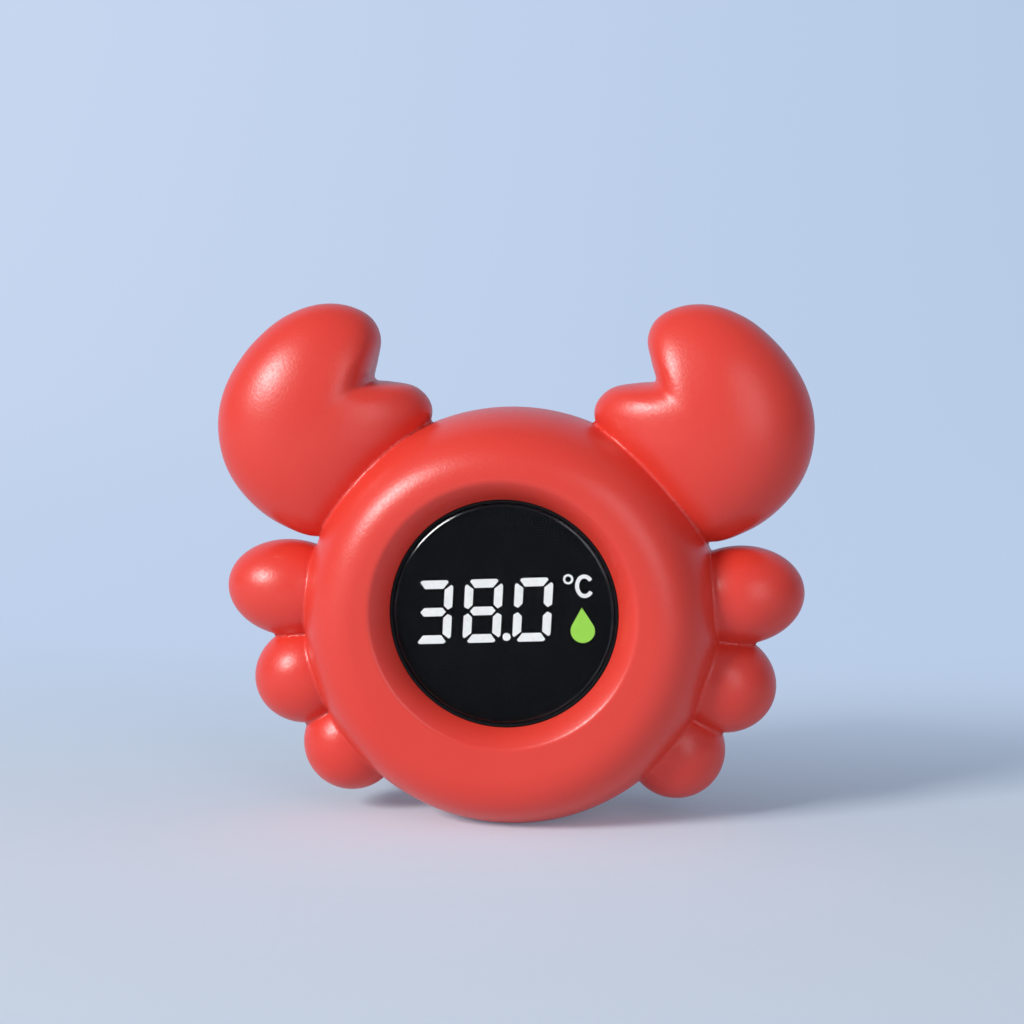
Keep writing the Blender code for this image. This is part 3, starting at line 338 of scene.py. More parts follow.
# %% The lumps and the two surfaces
def rough_lumps(name, depth):
    """Body, claws and legs as overlapping lumps, each smaller by a depth in mm."""
    bm = bmesh.new()
    turns = [90 * step / 8 for step in range(9)]
    quarter = [rounded(turn, SHOULDER - depth, HALF_DEPTH - depth) for turn in turns]
    profile = [(CREST_RADIUS + a, -d) for a, d in reversed(quarter)]
    profile += [(CREST_RADIUS + a, d) for a, d in quarter[1:]]
    spun(bm, [(0.0, profile[0][1])] + profile + [(0.0, profile[-1][1])])
    spread = round(4 * depth)
    lowest = np.min([np.roll(SHARP_RADII, k) for k in range(-spread, spread + 1)], axis=0)
    claw_depth = CLAW_HALF_DEPTH - depth
    for side in (1, -1):
        for angle, beyond, half_length, half_height, half_depth in LEGS:
            x, z = around(angle, BODY_RADIUS + beyond)
            place = Matrix.Translation(metres(side * x, 0, z))
            turn = Matrix.Rotation(-side * math.radians(angle), 4, "Y")
            stretch = Matrix.Diagonal((half_length - depth, half_depth - depth,
                                       half_height - depth, 1))
            bmesh.ops.create_icosphere(bm, subdivisions=4, radius=1,
                                       matrix=place @ turn @ Matrix.Scale(MM, 4) @ stretch)
        rows = []
        for level in range(-8, 9):
            share, deep = rounded(90 * abs(level) / 9, 1.0, claw_depth)
            row = []
            for angle in range(0, 360, 3):
                sharp, soft = lowest[angle] - depth, SOFT_RADII[angle] - depth
                radius = (soft + (sharp - soft) * share ** CLAW_FADE) * share
                x, z = around(angle, radius, PALM)
                row.append(bm.verts.new(metres(side * x, math.copysign(deep, level), z)))
            rows.append(row)
        for row, following in zip(rows, rows[1:]):
            for k in range(len(row)):
                ahead = (k + 1) % len(row)
                bm.faces.new((row[k], row[ahead], following[ahead], following[k]))
        for row, sign in ((rows[0], -1), (rows[-1], 1)):
            crest = bm.verts.new(metres(side * PALM[0], sign * claw_depth, PALM[1]))
            for k in range(len(row)):
                bm.faces.new((row[k], row[(k + 1) % len(row)], crest))
    return finish_mesh(name, bm)


def skin_at(name, depth, voxel, rounds=6):
    """The closed surface that lies a given depth in mm under the skin."""
    piece = rough_lumps(name, depth)
    remesh = piece.modifiers.new("melt", "REMESH")
    remesh.mode = "VOXEL"
    remesh.voxel_size = voxel * MM
    smooth = piece.modifiers.new("even out", "SMOOTH")
    smooth.iterations = 3
    baked(piece)
    mesh = piece.data
    flat = np.empty(len(mesh.vertices) * 3, dtype=np.float64)
    mesh.vertices.foreach_get("co", flat)
    points = flat.reshape(-1, 3) / MM
    points[:, 2] -= BODY_HEIGHT
    for _ in range(rounds):
        distance, way = skin_distance(points)
        points -= np.clip(distance + depth, -0.8, 0.8)[:, None] * way
    left = np.abs(skin_distance(points)[0] + depth)
    points[:, 2] += BODY_HEIGHT
    mesh.vertices.foreach_set("co", (points * MM).ravel().astype(np.float32))
    mesh.update()
    mesh.shade_smooth()
    print(name, "corners:", len(points), "furthest from its surface in mm:", round(left.max(), 3))
    return piece


CORE_DEPTH = 1.7
skin = skin_at("moulded_skin", 0.0, 0.5)
core = skin_at("skin_core", CORE_DEPTH, 1.1)

# %% [markdown]
# ## Two half shells
#
# On the real object the two halves are moulded apart and screwed together, which leaves a fine
# line round the middle. Each half here is the fine skin, cut just short of the parting plane.
# Its inside comes from the measured model: the core minus the measured shell is exactly the
# room inside, with every rib and boss, and taking that room out of the fine half leaves a wall.
# Cutting with the block also leaves the flat underneath that it stands on.

# %% Cut the halves and hollow them
WIDE = 80


def closed_copy(name, source):
    """A copy of a measured piece whose corners are joined up again."""
    bm = bmesh.new()
    bm.from_mesh(source.data)
    bmesh.ops.remove_doubles(bm, verts=bm.verts, dist=1e-7)
    mesh = bpy.data.meshes.new(name)
    bm.to_mesh(mesh)
    bm.free()
    return placed(name, mesh)


def volume_of(piece):
    bm = bmesh.new()
    bm.from_mesh(piece.data)
    volume = bm.calc_volume() / MM ** 3
    bm.free()
    return round(volume)


def half_shell(name, word, low, high):
    """The fine half shell between two depths, hollowed as the measured one is."""
    half = placed(name, skin.data.copy())
    keep = block(f"{name}_half", (-WIDE, low, -BODY_HEIGHT), (WIDE, high, WIDE))
    shaped(half, "INTERSECT", keep)
    room = placed(f"{name}_room", core.data.copy())
    shaped(room, "DIFFERENCE", closed_copy(f"{name}_measured", node[word]))
    solid = volume_of(half)
    shaped(half, "DIFFERENCE", room, sharp=SHELL_EDGE_ANGLE)
    print(name, "solid", solid, "mm3, hollow", volume_of(half), "mm3")
    return half


front = half_shell("front_half_shell", "front_shell", -HALF_DEPTH - 1, -PARTING_HALF_GAP)
rear = half_shell("rear_half_shell", "rear_shell", PARTING_HALF_GAP, HALF_DEPTH + 1)
bpy.data.objects.remove(skin, do_unlink=True)
bpy.data.objects.remove(core, do_unlink=True)

# %% [markdown]
# ## The recess of the window
#
# The window sits at the foot of a shallow cone. Its lip is rounded by a millimetre or two,
# which is what catches the light as a thin bright crescent at the lower right. A turned cutter
# with that rounding in its profile makes the cone and the seat in one cut. It is a few hundredths
# wider than the measured recess, so that no sliver of the measured one is left in the surface.

# %% Cut the recess
RECESS_RADIUS = 24.27
RECESS_DEPTH = 2.9
LENS_RADIUS = 20.1
SEAT_RADIUS = 20.77
LIP = 1.5
LIP_END = -98
FLARE_RISE = 0.14
SEAT_DEPTH = 2.0
OUT = HALF_DEPTH + 2
LENS_FRONT = -(HALF_DEPTH - RECESS_DEPTH)
WINDOW = (0.0, WINDOW_RISE)

slope = math.degrees(math.atan2(RECESS_DEPTH, RECESS_RADIUS - SEAT_RADIUS))
lip_middle = (RECESS_RADIUS + LIP * math.tan(math.radians(slope / 2)), -HALF_DEPTH + LIP)
lip = [(lip_middle[0] + LIP * math.cos(math.radians(a)),
        lip_middle[1] + LIP * math.sin(math.radians(a)))
       for a in np.linspace(-90 - slope, LIP_END, 7)][::-1]
flare = (lip[0][0] + 1.0, lip[0][1] - FLARE_RISE)
seat = LENS_FRONT + SEAT_DEPTH
cutter = turned("recess_cutter", [(0, -OUT), (flare[0], -OUT), flare] + lip
                + [(SEAT_RADIUS, LENS_FRONT), (SEAT_RADIUS, seat),
                   (LENS_RADIUS - 0.5, seat), (0, seat)], WINDOW, steps=192)
shaped(front, "DIFFERENCE", cutter, sharp=SHELL_EDGE_ANGLE)
print("slope of the recess:", round(slope, 1), "degrees")

# %% [markdown]
# ## Pockets in the back
#
# The back holds the battery door, three kinds of screw hole, a dish round the metal probe and
# two small pins. The measured model has them already below CORE_DEPTH. Short turned cutters
# finish their mouths in the fine skin, with more sides than the measured ones, so they look
# round. Depths are Y values, so the back is at HALF_DEPTH, OUT is clear of it, and the mouths
# begin to widen a little before it.

# %% Cut the mouths of the pockets
DOOR_RADIUS = 18.0
DOOR = (0.0, DOOR_RISE)
DOOR_SEAT = 15.8
DOOR_SCREWS = [around(angle, 15.4, DOOR) for angle in (90, 210, 330)]
SHELL_SCREWS = [around(angle, 33.6) for angle in (45, 135, 225, 315)]
SCREW_WELL, SCREW_WELL_FLOOR, SCREW_WELL_MOUTH, SCREW_WELL_CHAMFER = 2.64, 7.3, 2.9, 17.6
PROBE = (0.0, -18.6)
PROBE_BORE = 3.38
DISH_FLOOR, DISH_FLAT, DISH_ROUND = 16.5, 4.4, 1.0
PINS = {"right": (9.4, -16.6), "left": (-9.4, -16.6)}
PIN_BORE, PIN_HEAD_BORE, PIN_SEAT = 1.38, 2.18, 17.05
FIT = 0.15
CHAMFER_START = 17.8
UNDER = HALF_DEPTH - CORE_DEPTH - 0.5

door_wall = DOOR_RADIUS + FIT + 0.04
dish_wall = DISH_FLAT + DISH_ROUND
mouths = [turned("door_mouth", [(0, DOOR_SEAT), (door_wall, DOOR_SEAT),
                                (door_wall, CHAMFER_START), (door_wall + 0.35, OUT), (0, OUT)],
                 DOOR, steps=160)]
for place in SHELL_SCREWS:
    mouths.append(turned("screw_mouth", [(0, SCREW_WELL_FLOOR), (SCREW_WELL, SCREW_WELL_FLOOR),
                                         (SCREW_WELL, SCREW_WELL_CHAMFER),
                                         (SCREW_WELL_MOUTH, OUT - 1.8),
                                         (SCREW_WELL_MOUTH, OUT), (0, OUT)], place, steps=40))
mouths.append(turned("probe_mouth", [(0, UNDER), (PROBE_BORE, UNDER), (PROBE_BORE, DISH_FLOOR),
                                     (DISH_FLAT, DISH_FLOOR)]
                     + arc((DISH_FLAT, DISH_FLOOR + DISH_ROUND), DISH_ROUND, -90, 0, 6)[1:]
                     + [(dish_wall, CHAMFER_START), (dish_wall + 0.3, OUT), (0, OUT)],
                     PROBE, steps=64))
for place in PINS.values():
    mouths.append(turned("pin_mouth", [(0, UNDER), (PIN_BORE, UNDER), (PIN_BORE, PIN_SEAT),
                                       (PIN_HEAD_BORE, PIN_SEAT), (PIN_HEAD_BORE, OUT),
                                       (0, OUT)], place, steps=48))
shaped(rear, "DIFFERENCE", *mouths, sharp=SHELL_EDGE_ANGLE)
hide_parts("front_shell")
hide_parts("rear_shell")
for half in (front, rear):
    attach(half, "root")
    print(half.name, "faces:", len(half.data.polygons))

# %% [markdown]
# ## The window
#
# The window is a clear acrylic disc. A polished bevel runs round its edge and shows as a thin
# pale line where it mirrors the light. A soft black gasket fills the gap round it, so that the
# whole disc looks black up to the plastic. Both are turned. The bevel starts with a shallow
# step, because that is the part whose slope sends the light from above to the eye, and it has
# a material of its own, since only the flat face is coated against reflections.

# %% Turn the window and its gasket
LENS_BACK = LENS_FRONT + 1.5
BEVEL_RADIUS = 19.5
GASKET_INNER, GASKET_OUTER = 20.14, 20.73
GASKET_BACK = LENS_FRONT + 1.9
window = turned("acrylic_window",
                [(0, LENS_FRONT), (BEVEL_RADIUS, LENS_FRONT),
                 (BEVEL_RADIUS + 0.28, LENS_FRONT + 0.13),
                 (LENS_RADIUS - 0.04, LENS_FRONT + 0.42), (LENS_RADIUS, LENS_FRONT + 0.5),
                 (LENS_RADIUS, LENS_BACK), (0, LENS_BACK)], WINDOW, steps=192, sharp=20)
gasket = turned("window_gasket",
                [(GASKET_INNER, LENS_FRONT + 0.5), (20.22, LENS_FRONT + 0.3),
                 (20.42, LENS_FRONT + 0.2), (20.64, LENS_FRONT + 0.24),
                 (GASKET_OUTER, LENS_FRONT + 0.4), (GASKET_OUTER, GASKET_BACK),
                 (GASKET_INNER, GASKET_BACK)], WINDOW, steps=192, ring=True)
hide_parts("display_lens")
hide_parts("lens_seal")
for piece in (window, gasket):
    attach(piece, "root")
print("window across:", 2 * LENS_RADIUS, "mm")

# %% [markdown]
# ## Digits, unit sign and drop
#
# The display is a black mask with openings. Moulded light guides stand up into them, and LEDs
# behind light them. A digit is seven strokes with pointed ends, so one digit is written down
# once and repeated three times, leaned over by shifting each point sideways with its height.
# The whole display sits very slightly turned in the real window, so everything passes through
# one small rotation at the end. The openings are a hair larger than the strokes, so each
# outline can be grown by moving its corners outwards.

# %% Outlines of the display
DISPLAY_TURN = 2.5
DIGIT_HEIGHT = 11.55
DIGIT_WIDTH = 6.9
DIGIT_PITCH = 9.07
DIGIT_LEAN = 5.5
DIGITS_X, DIGITS_Z = -3.9, 0.5
STROKE = 1.53
LIT_STROKES = ("abcdg", "abcdefg", "abcdef")
LEAN = math.tan(math.radians(DIGIT_LEAN))
MASK_FRONT = LENS_BACK + FIT
MASK_THICKNESS = 0.5
GUIDE_FRONT = MASK_FRONT + MASK_THICKNESS + FIT
GUIDE_BACK = GUIDE_FRONT + 0.6


def strokes_of_a_digit():
    """The seven strokes about the digit's middle, named a to g as usual."""
    right, top = DIGIT_WIDTH / 2, DIGIT_HEIGHT / 2
    end, tip, nip, inner = 0.8 * STROKE, 0.58 * STROKE, 0.22 * STROKE, 1.17 * STROKE
    half_top = [(right - end, top), (right - tip, top - nip), (right - inner, top - STROKE)]
    half_middle = [(right - inner, STROKE / 2), (right - 0.74 * STROKE, 0),
                   (right - inner, -STROKE / 2)]
    upright = [(right, top - end), (right - nip, top - tip), (right - STROKE, top - inner),
               (right - STROKE, 0.75 * STROKE), (right - STROKE / 2, 0.27 * STROKE),
               (right, 0.56 * STROKE)]

    def flipped(points, across, along):
        return [(across * x, along * z) for x, z in points]

    return {"a": half_top + flipped(half_top, -1, 1)[::-1],
            "d": flipped(half_top, 1, -1) + flipped(half_top, -1, -1)[::-1],
            "g": half_middle + flipped(half_middle, -1, 1)[::-1],
            "b": upright, "c": flipped(upright, 1, -1),
            "f": flipped(upright, -1, 1), "e": flipped(upright, -1, -1)}


def grown(outline, by):
    """An outline moved outwards by a small distance, corner by corner."""
    area = sum(a[0] * b[1] - b[0] * a[1] for a, b in zip(outline, outline[1:] + outline[:1]))
    points = []
    for index, here in enumerate(outline):
        here, before = Vector(here), Vector(outline[index - 1])
        after = Vector(outline[(index + 1) % len(outline)])
        first, second = (here - before).normalized(), (after - here).normalized()
        out1 = Vector((first.y, -first.x)) * math.copysign(1, area)
        out2 = Vector((second.y, -second.x)) * math.copysign(1, area)
        points.append(tuple(here + (out1 + out2) * (by / (1 + out1.dot(out2)))))
    return points


def on_display(points):
    """Puts points of the display's own frame where the slightly turned display is."""
    cos, sin = math.cos(math.radians(DISPLAY_TURN)), math.sin(math.radians(DISPLAY_TURN))
    return [(x * cos - z * sin, WINDOW_RISE + x * sin + z * cos) for x, z in points]


lit, unlit = [], []
for place, on in zip((-1, 0, 1), LIT_STROKES):
    for word, stroke in strokes_of_a_digit().items():
        outline = [(DIGITS_X + place * DIGIT_PITCH + x + LEAN * z, DIGITS_Z + z)
                   for x, z in stroke]
        (lit if word in on else unlit).append(outline)
foot = DIGITS_Z - DIGIT_HEIGHT / 2 + 0.92
lit.append(arc((DIGITS_X + DIGIT_PITCH / 2 + foot * LEAN, foot), 0.72, 0, 350, 35))
LETTER = (14.7, 4.5)
letter = arc(LETTER, 1.7, 35, 325, 40, squash=1.25) + arc(LETTER, 1.0, 325, 35, 40, squash=1.425)
DROP_X, DROP_Z, DROP_RADIUS, DROP_TIP = 14.05, -3.6, 2.18, 4.2
side = math.degrees(math.asin(DROP_RADIUS / DROP_TIP))
drop = arc((DROP_X, DROP_Z), DROP_RADIUS, 180 - side, 360 + side, 48)
drop.append((DROP_X, DROP_Z + DROP_TIP))
DEGREE, DEGREE_RADIUS = (11.8, 5.85), 0.92
degree_rim = arc(DEGREE, DEGREE_RADIUS, 0, 350, 35)
degree_middle = arc(DEGREE, DEGREE_RADIUS - 0.4, 0, 340, 17)
print("strokes lit:", len(lit) - 1, "unlit:", len(unlit))

# %% [markdown]
# ## Building the mask and the light guides
#
# The mask is a disc of black film. Its openings are only two hundredths of a millimetre larger
# than the strokes, and the middle of the ring sign is a black dot on the same film. Every lit
# shape stands on a thin plate behind the mask, as on a real moulded guide. A stroke that is off
# has no light behind it, so it looks dark: that darkness is painted shade here, a plate of the
# black film of its own, a little larger than its opening, so that nothing shines past it.

# %% Build them
TIGHT = 0.02
mask_back = MASK_FRONT + MASK_THICKNESS
mask = turned("printed_mask", [(0, MASK_FRONT), (LENS_RADIUS, MASK_FRONT),
                               (LENS_RADIUS, mask_back), (0, mask_back)], WINDOW, steps=192)
open_shapes = lit + unlit + [letter, degree_rim, drop]
openings = drawn_out("mask_openings", [on_display(grown(o, TIGHT)) for o in open_shapes],
                     MASK_FRONT - 1, MASK_FRONT + 2)
dot = drawn_out("degree_dot", [on_display(degree_middle)], MASK_FRONT, MASK_FRONT + 0.3)
shaped(mask, "DIFFERENCE", openings, solver="EXACT")
shaped(mask, "UNION", dot, solver="EXACT")

LEFT, RIGHT, LOW, HIGH = -17.18, 16.8, -5.7, 7.02
UPRIGHT = 1.485
digits_end = DIGITS_X + DIGIT_PITCH + DIGIT_WIDTH / 2 + LEAN * DIGIT_HEIGHT / 2
ACROSS = (digits_end + DEGREE[0] - DEGREE_RADIUS) / 2
APART = 0.08
guide = drawn_out("digit_guide", [on_display([
    (LEFT, LOW), (ACROSS - APART, LOW), (ACROSS - APART, UPRIGHT + APART),
    (RIGHT, UPRIGHT + APART), (RIGHT, HIGH), (LEFT, HIGH)])], GUIDE_FRONT, GUIDE_BACK)
raised = drawn_out("raised_signs", [on_display(o) for o in lit + [letter, degree_rim]],
                   MASK_FRONT, GUIDE_FRONT + 0.3)
hole = drawn_out("ring_hole", [on_display(grown(degree_middle, TIGHT))],
                 MASK_FRONT - 1, GUIDE_FRONT)
# Painted shade: the strokes that are off are plugged with plates of black film, standing in for
# their darkness with no light behind them.
painted_shade_strokes = drawn_out("unlit_strokes_painted_shade", [on_display(grown(o, 2 * TIGHT)) for o in unlit],
                 MASK_FRONT - TIGHT, MASK_FRONT + 0.3)
shaped(guide, "UNION", raised, solver="EXACT")
shaped(guide, "DIFFERENCE", hole, solver="EXACT")
drop_guide = drawn_out("drop_guide", [on_display([
    (ACROSS + APART, LOW), (RIGHT, LOW), (RIGHT, UPRIGHT - APART),
    (ACROSS + APART, UPRIGHT - APART)])], GUIDE_FRONT, GUIDE_BACK)
raised_drop = drawn_out("raised_drop", [on_display(drop)], MASK_FRONT, GUIDE_FRONT + 0.3)
shaped(drop_guide, "UNION", raised_drop, solver="EXACT")
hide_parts("display_mask")
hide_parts("digit_light_guide")
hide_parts("droplet_light_guide")
print("guides:", len(guide.data.polygons), "and", len(drop_guide.data.polygons), "faces")

# %% [markdown]
# ## Door, screws, probe and pins
#
# These are small turned pieces that show on the back. A screw's cross is cut by two thin
# blocks. The probe is a drawn steel cap with a domed end, set in its dish so that it touches
# the water but is hard to knock.

# %% Turn them
SCREW_HEAD_HEIGHT = 1.4
SLOT_DEPTH = 0.7
DOOR_INNER = 16.0
DOOR_EDGE = 0.5
DOOR_PAD = 6.0
DOOR_HOLE, DOOR_HEAD_HOLE, DOOR_HOLE_MOUTH, DOOR_HOLE_STEP = 1.05, 2.05, 2.35, 16.5
PROBE_RADIUS, PROBE_INNER, PROBE_CROWN = 3.2, 2.7, 1.35
PROBE_FLANGE, FLANGE_THICKNESS = 4.6, 0.8
PIN_RADIUS, PIN_HEAD, PIN_EDGE = 1.2, 2.0, 0.3


def pan_head_screw(name, place, seat, length, radius, head):
    """A pan-head screw with a cross slot, driven towards the front."""
    top = seat + SCREW_HEAD_HEIGHT
    crown = [(0, top), (head * 0.55, top - 0.05), (head * 0.8, top - 0.22),
             (head * 0.95, top - 0.55), (head, top - 0.95)]
    made = turned(name, crown + [(head, seat), (radius, seat), (radius, seat - length + radius),
                                 (0, seat - length)], place, steps=40)
    x, z = place
    slot, width, foot = head * 0.6, head * 0.13, top - SLOT_DEPTH
    cross = block("cross", (x - slot, foot, z - width), (x + slot, top + 1, z + width))
    upright = block("upright", (x - width, foot, z - slot), (x + width, top + 1, z + slot))
    return shaped(made, "DIFFERENCE", cross, upright, solver="EXACT")


pieces = {}
for number, place in enumerate(DOOR_SCREWS, 1):
    pieces[f"door_screw_{number}"] = pan_head_screw(f"turned_door_screw_{number}", place,
                                                    seat=16.55, length=6.5, radius=0.9, head=1.9)
for number, place in enumerate(SHELL_SCREWS, 1):
    pieces[f"shell_screw_{number}"] = pan_head_screw(f"turned_shell_screw_{number}", place,
                                                     seat=7.15, length=17.0, radius=1.2, head=2.3)
pad_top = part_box("coin_cell")[1][1] / MM + FIT
edge = arc((DOOR_RADIUS - DOOR_EDGE, HALF_DEPTH - DOOR_EDGE), DOOR_EDGE, 90, 0, 6)
door = turned("screwed_door", [(0, HALF_DEPTH)] + edge
              + [(DOOR_RADIUS, DOOR_INNER), (DOOR_PAD, DOOR_INNER), (DOOR_PAD, pad_top),
                 (0, pad_top)], DOOR, steps=160)
holes = [turned("door_hole", [(0, 14), (DOOR_HOLE, 14), (DOOR_HOLE, DOOR_HOLE_STEP),
                              (DOOR_HEAD_HOLE, DOOR_HOLE_STEP), (DOOR_HEAD_HOLE, CHAMFER_START),
                              (DOOR_HOLE_MOUTH, OUT - 1), (DOOR_HOLE_MOUTH, OUT), (0, OUT)],
                place, steps=48)
         for place in DOOR_SCREWS]
pieces["battery_door"] = shaped(door, "DIFFERENCE", *holes)
probe_low, probe_top = (corner[1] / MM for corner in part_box("probe_cap"))
flange_top = probe_low + FLANGE_THICKNESS
pieces["probe_cap"] = turned(
    "drawn_probe_cap",
    arc((0, probe_top - PROBE_CROWN), PROBE_RADIUS, 90, 22, 12, squash=PROBE_CROWN / PROBE_RADIUS)
    + arc((2.2, probe_top - 1.85), 1.0, 35, 0, 4)
    + [(PROBE_RADIUS, flange_top), (PROBE_FLANGE, flange_top), (PROBE_FLANGE, probe_low),
       (PROBE_INNER, probe_low), (PROBE_INNER, probe_top - 1.9), (1.6, probe_top - 1.2),
       (0, probe_top - 0.9)], PROBE, steps=64)
pin_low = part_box("water_pin_left")[0][1] / MM
edge = arc((PIN_HEAD - PIN_EDGE, HALF_DEPTH - PIN_EDGE), PIN_EDGE, 90, 0, 5)
for word, place in PINS.items():
    pieces[f"water_pin_{word}"] = turned(
        f"turned_water_pin_{word}", [(0, HALF_DEPTH)] + edge
        + [(PIN_HEAD, PIN_SEAT + FIT), (PIN_RADIUS, PIN_SEAT + FIT), (PIN_RADIUS, pin_low),
           (0, pin_low)], place, steps=48)
for name, piece in pieces.items():
    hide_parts(name)
    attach(piece, "root")
print("turned pieces:", sorted(pieces))

# %% [markdown]
# ## Writing down a colour and adding a node
#
# Colours are written as the hex codes that a paint program shows, which are sRGB, and Blender's
# shaders want linear light, so one function turns one into the other. Another adds a node with
# its settings and links. A third turns a real feature size into the scale of a texture: the
# texture repeats about once per metre at scale 1, so a 0.5 mm grain needs a scale of 2000. The
# rest are the few steps that nearly every finish here takes: a noise of a real size, two close
# colours, a range of roughness and a low relief, each made from the step before.

# %% Material tools
def linear(code):
    """Linear red, green, blue and alpha of an sRGB hex colour."""
    values = [int(code[k:k + 2], 16) / 255 for k in (1, 3, 5)]
    return tuple(v / 12.92 if v <= 0.04045 else ((v + 0.055) / 1.055) ** 2.4
                 for v in values) + (1.0,)


def repeats(size):
    """Texture scale for a feature of this many millimetres."""
    return 1 / (size * MM)


def add_node(tree, kind, inputs, **settings):
    """Adds a node, or takes the one that is given. A socket among the inputs is linked."""
    made = tree.nodes.new(kind) if isinstance(kind, str) else kind
    for name, value in settings.items():
        setattr(made, name, value)
    for name, value in inputs.items():
        if isinstance(value, bpy.types.NodeSocket):
            tree.links.new(value, made.inputs[name])
        else:
            made.inputs[name].default_value = value
    return made


def new_material(name):
    """A material with its node tree, its surface and its coordinates in metres."""
    made = bpy.data.materials.new(name)
    made.use_nodes = True
    tree = made.node_tree
    where = tree.nodes.new("ShaderNodeTexCoord").outputs["Object"]
    return made, tree, tree.nodes["Principled BSDF"], where


def noise(tree, where, size, detail=2.0):
    """A noise from 0 to 1 whose features are this many millimetres across."""
    return add_node(tree, "ShaderNodeTexNoise", {"Vector": where, "Scale": repeats(size),
                                                 "Detail": detail}).outputs["Fac"]


def two_tones(tree, factor, first, second, start=0.0, end=1.0):
    """A colour that runs from one hex code to another as a factor rises from start to end."""
    ramp = add_node(tree, "ShaderNodeValToRGB", {"Fac": factor})
    for element, place, code in zip(ramp.color_ramp.elements, (start, end), (first, second)):
        element.position = place
        element.color = linear(code)
    return ramp.outputs["Color"]


def polish(tree, factor, low, high):
    """A roughness that runs from low to high as a factor rises from 0 to 1."""
    return add_node(tree, "ShaderNodeMapRange", {"Value": factor, "To Min": low,
                                                 "To Max": high}).outputs["Result"]


def relief(tree, height, strength, depth):
    """A bumpy surface whose relief is this many millimetres deep."""
    return add_node(tree, "ShaderNodeBump", {"Height": height, "Strength": strength,
                                             "Distance": depth * MM}).outputs["Normal"]


def dress(piece, *materials):
    """Gives a piece its materials in place of any that it has."""
    piece.data.materials.clear()
    for material in materials:
        piece.data.materials.append(material)


print("0.5 mm grain needs scale", repeats(0.5))

# %% [markdown]
# ## Coral ABS with a spark-eroded grain
#
# The mould of the shells was spark eroded, which leaves a satin grain of about half a
# millimetre that only shows inside the highlights. ABS has an IOR of about 1.53. Big mouldings
# vary a little where the plastic flowed, so a slow, faint noise of a few centimetres moves the
# colour between two close reds.

# %% ABS of the shells
def abs_moulding():
    """Coral ABS from a spark-eroded mould: a soft highlight that breaks up into fine grain."""
    made, tree, surface, where = new_material("coral_abs_spark_eroded")
    flow = noise(tree, where, 35)
    grain = noise(tree, where, 0.5, detail=1.0)
    add_node(tree, surface, {
        "Base Color": two_tones(tree, flow, "#DE392B", "#E23E30", 0.3, 0.7), "IOR": 1.53,
        "Roughness": polish(tree, grain, 0.27, 0.42),
        "Normal": relief(tree, grain, 0.38, 0.07)})
    return made


coral = abs_moulding()
for piece in (front, rear, pieces["battery_door"]):
    dress(piece, coral)
print(coral.name)

# %% [markdown]
# ## Clear acrylic and the black behind it
#
# Acrylic is fully clear and has an IOR of 1.49. The bevel is just that, turned and a little
# less smooth than the face. The polished face has a coating that cuts its reflection to a
# fraction, as display windows have. Here a lower IOR stands in for it, which reflects as little
# and looks the same through a flat sheet. Behind it the mask is a black printed film without
# gloss. A faint haze of fine wiping marks keeps the acrylic from looking like a hole.

# %% Acrylic and film
def clear_acrylic(name, ior, low, high):
    """Clear acrylic with faint wiping marks that move its roughness from low to high."""
    made, tree, surface, where = new_material(name)
    marks = noise(tree, where, 4.0, detail=4.0)
    add_node(tree, surface, {"Base Color": linear("#F4F6F8"), "IOR": ior,
                             "Transmission Weight": 1.0,
                             "Roughness": polish(tree, marks, low, high)})
    return made


def printed_film():
    """Black screen-printed film: matt, with a faint unevenness of the ink."""
    made, tree, surface, where = new_material("black_printed_film")
    ink = noise(tree, where, 0.5)
    add_node(tree, surface, {"Base Color": two_tones(tree, ink, "#070708", "#0D0D0F"),
                             "Roughness": 0.8, "Specular IOR Level": 0.05})
    return made


dress(window, clear_acrylic("coated_clear_acrylic", 1.12, 0.01, 0.05),
      clear_acrylic("turned_acrylic_bevel", 1.49, 0.12, 0.18))
for face in window.data.polygons:
    across = math.hypot(face.center.x / MM, face.center.z / MM - BODY_HEIGHT - WINDOW_RISE)
    face.material_index = 1 if across > BEVEL_RADIUS else 0
film = printed_film()
dress(mask, film)
print("window and mask dressed")

# %% [markdown]
# ## Lit guides
#
# The digits glow evenly, as diffusing polycarbonate does over an LED. An emission of about 1
# shows as the colour that is written, without washing out the shape. The drop is the same
# plastic over a green LED.

# %% Light guides
def lit_guide(name, body, glow, strength):
    """Diffusing polycarbonate over an LED: an even glow with a slight clouding."""
    made, tree, surface, where = new_material(name)
    cloud = noise(tree, where, 0.9)
    add_node(tree, surface, {"Base Color": two_tones(tree, cloud, *body), "Roughness": 0.5,
                             "Emission Color": linear(glow), "Emission Strength": strength})
    return made


white_guide = lit_guide("white_polycarbonate_lit", ("#7E8083", "#AEB0B2"), "#F2F0EC", 0.78)
green_guide = lit_guide("green_polycarbonate_lit", ("#466426", "#648A38"), "#9CDA42", 0.8)
dress(guide, white_guide)
dress(drop_guide, green_guide)
# The unlit strokes take the black film as painted shade.
dress(painted_shade_strokes, film)
for piece in (guide, drop_guide, painted_shade_strokes, mask):
    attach(piece, "root")
print("guides lit")

# %% [markdown]
# ## Metals
#
# Screws, pins and the probe are stainless steel. Turning and drawing leave lines too fine to
# see at this size except as a soft smear of the highlight, so a stretched noise drives the
# roughness. The contacts are nickel plated, which is a little warmer.

# %% Steel and nickel
def bright_metal(name, light, dull, low, high, line):
    """Bare metal with fine working marks; metals keep the default IOR."""
    made, tree, surface, where = new_material(name)
    stretch = add_node(tree, "ShaderNodeMapping", {"Vector": where, "Scale": (1.0, 12.0, 1.0)})
    marks = noise(tree, stretch.outputs["Vector"], line, detail=3.0)
    add_node(tree, surface, {"Base Color": two_tones(tree, marks, dull, light), "Metallic": 1.0,
                             "Roughness": polish(tree, marks, low, high)})
    return made


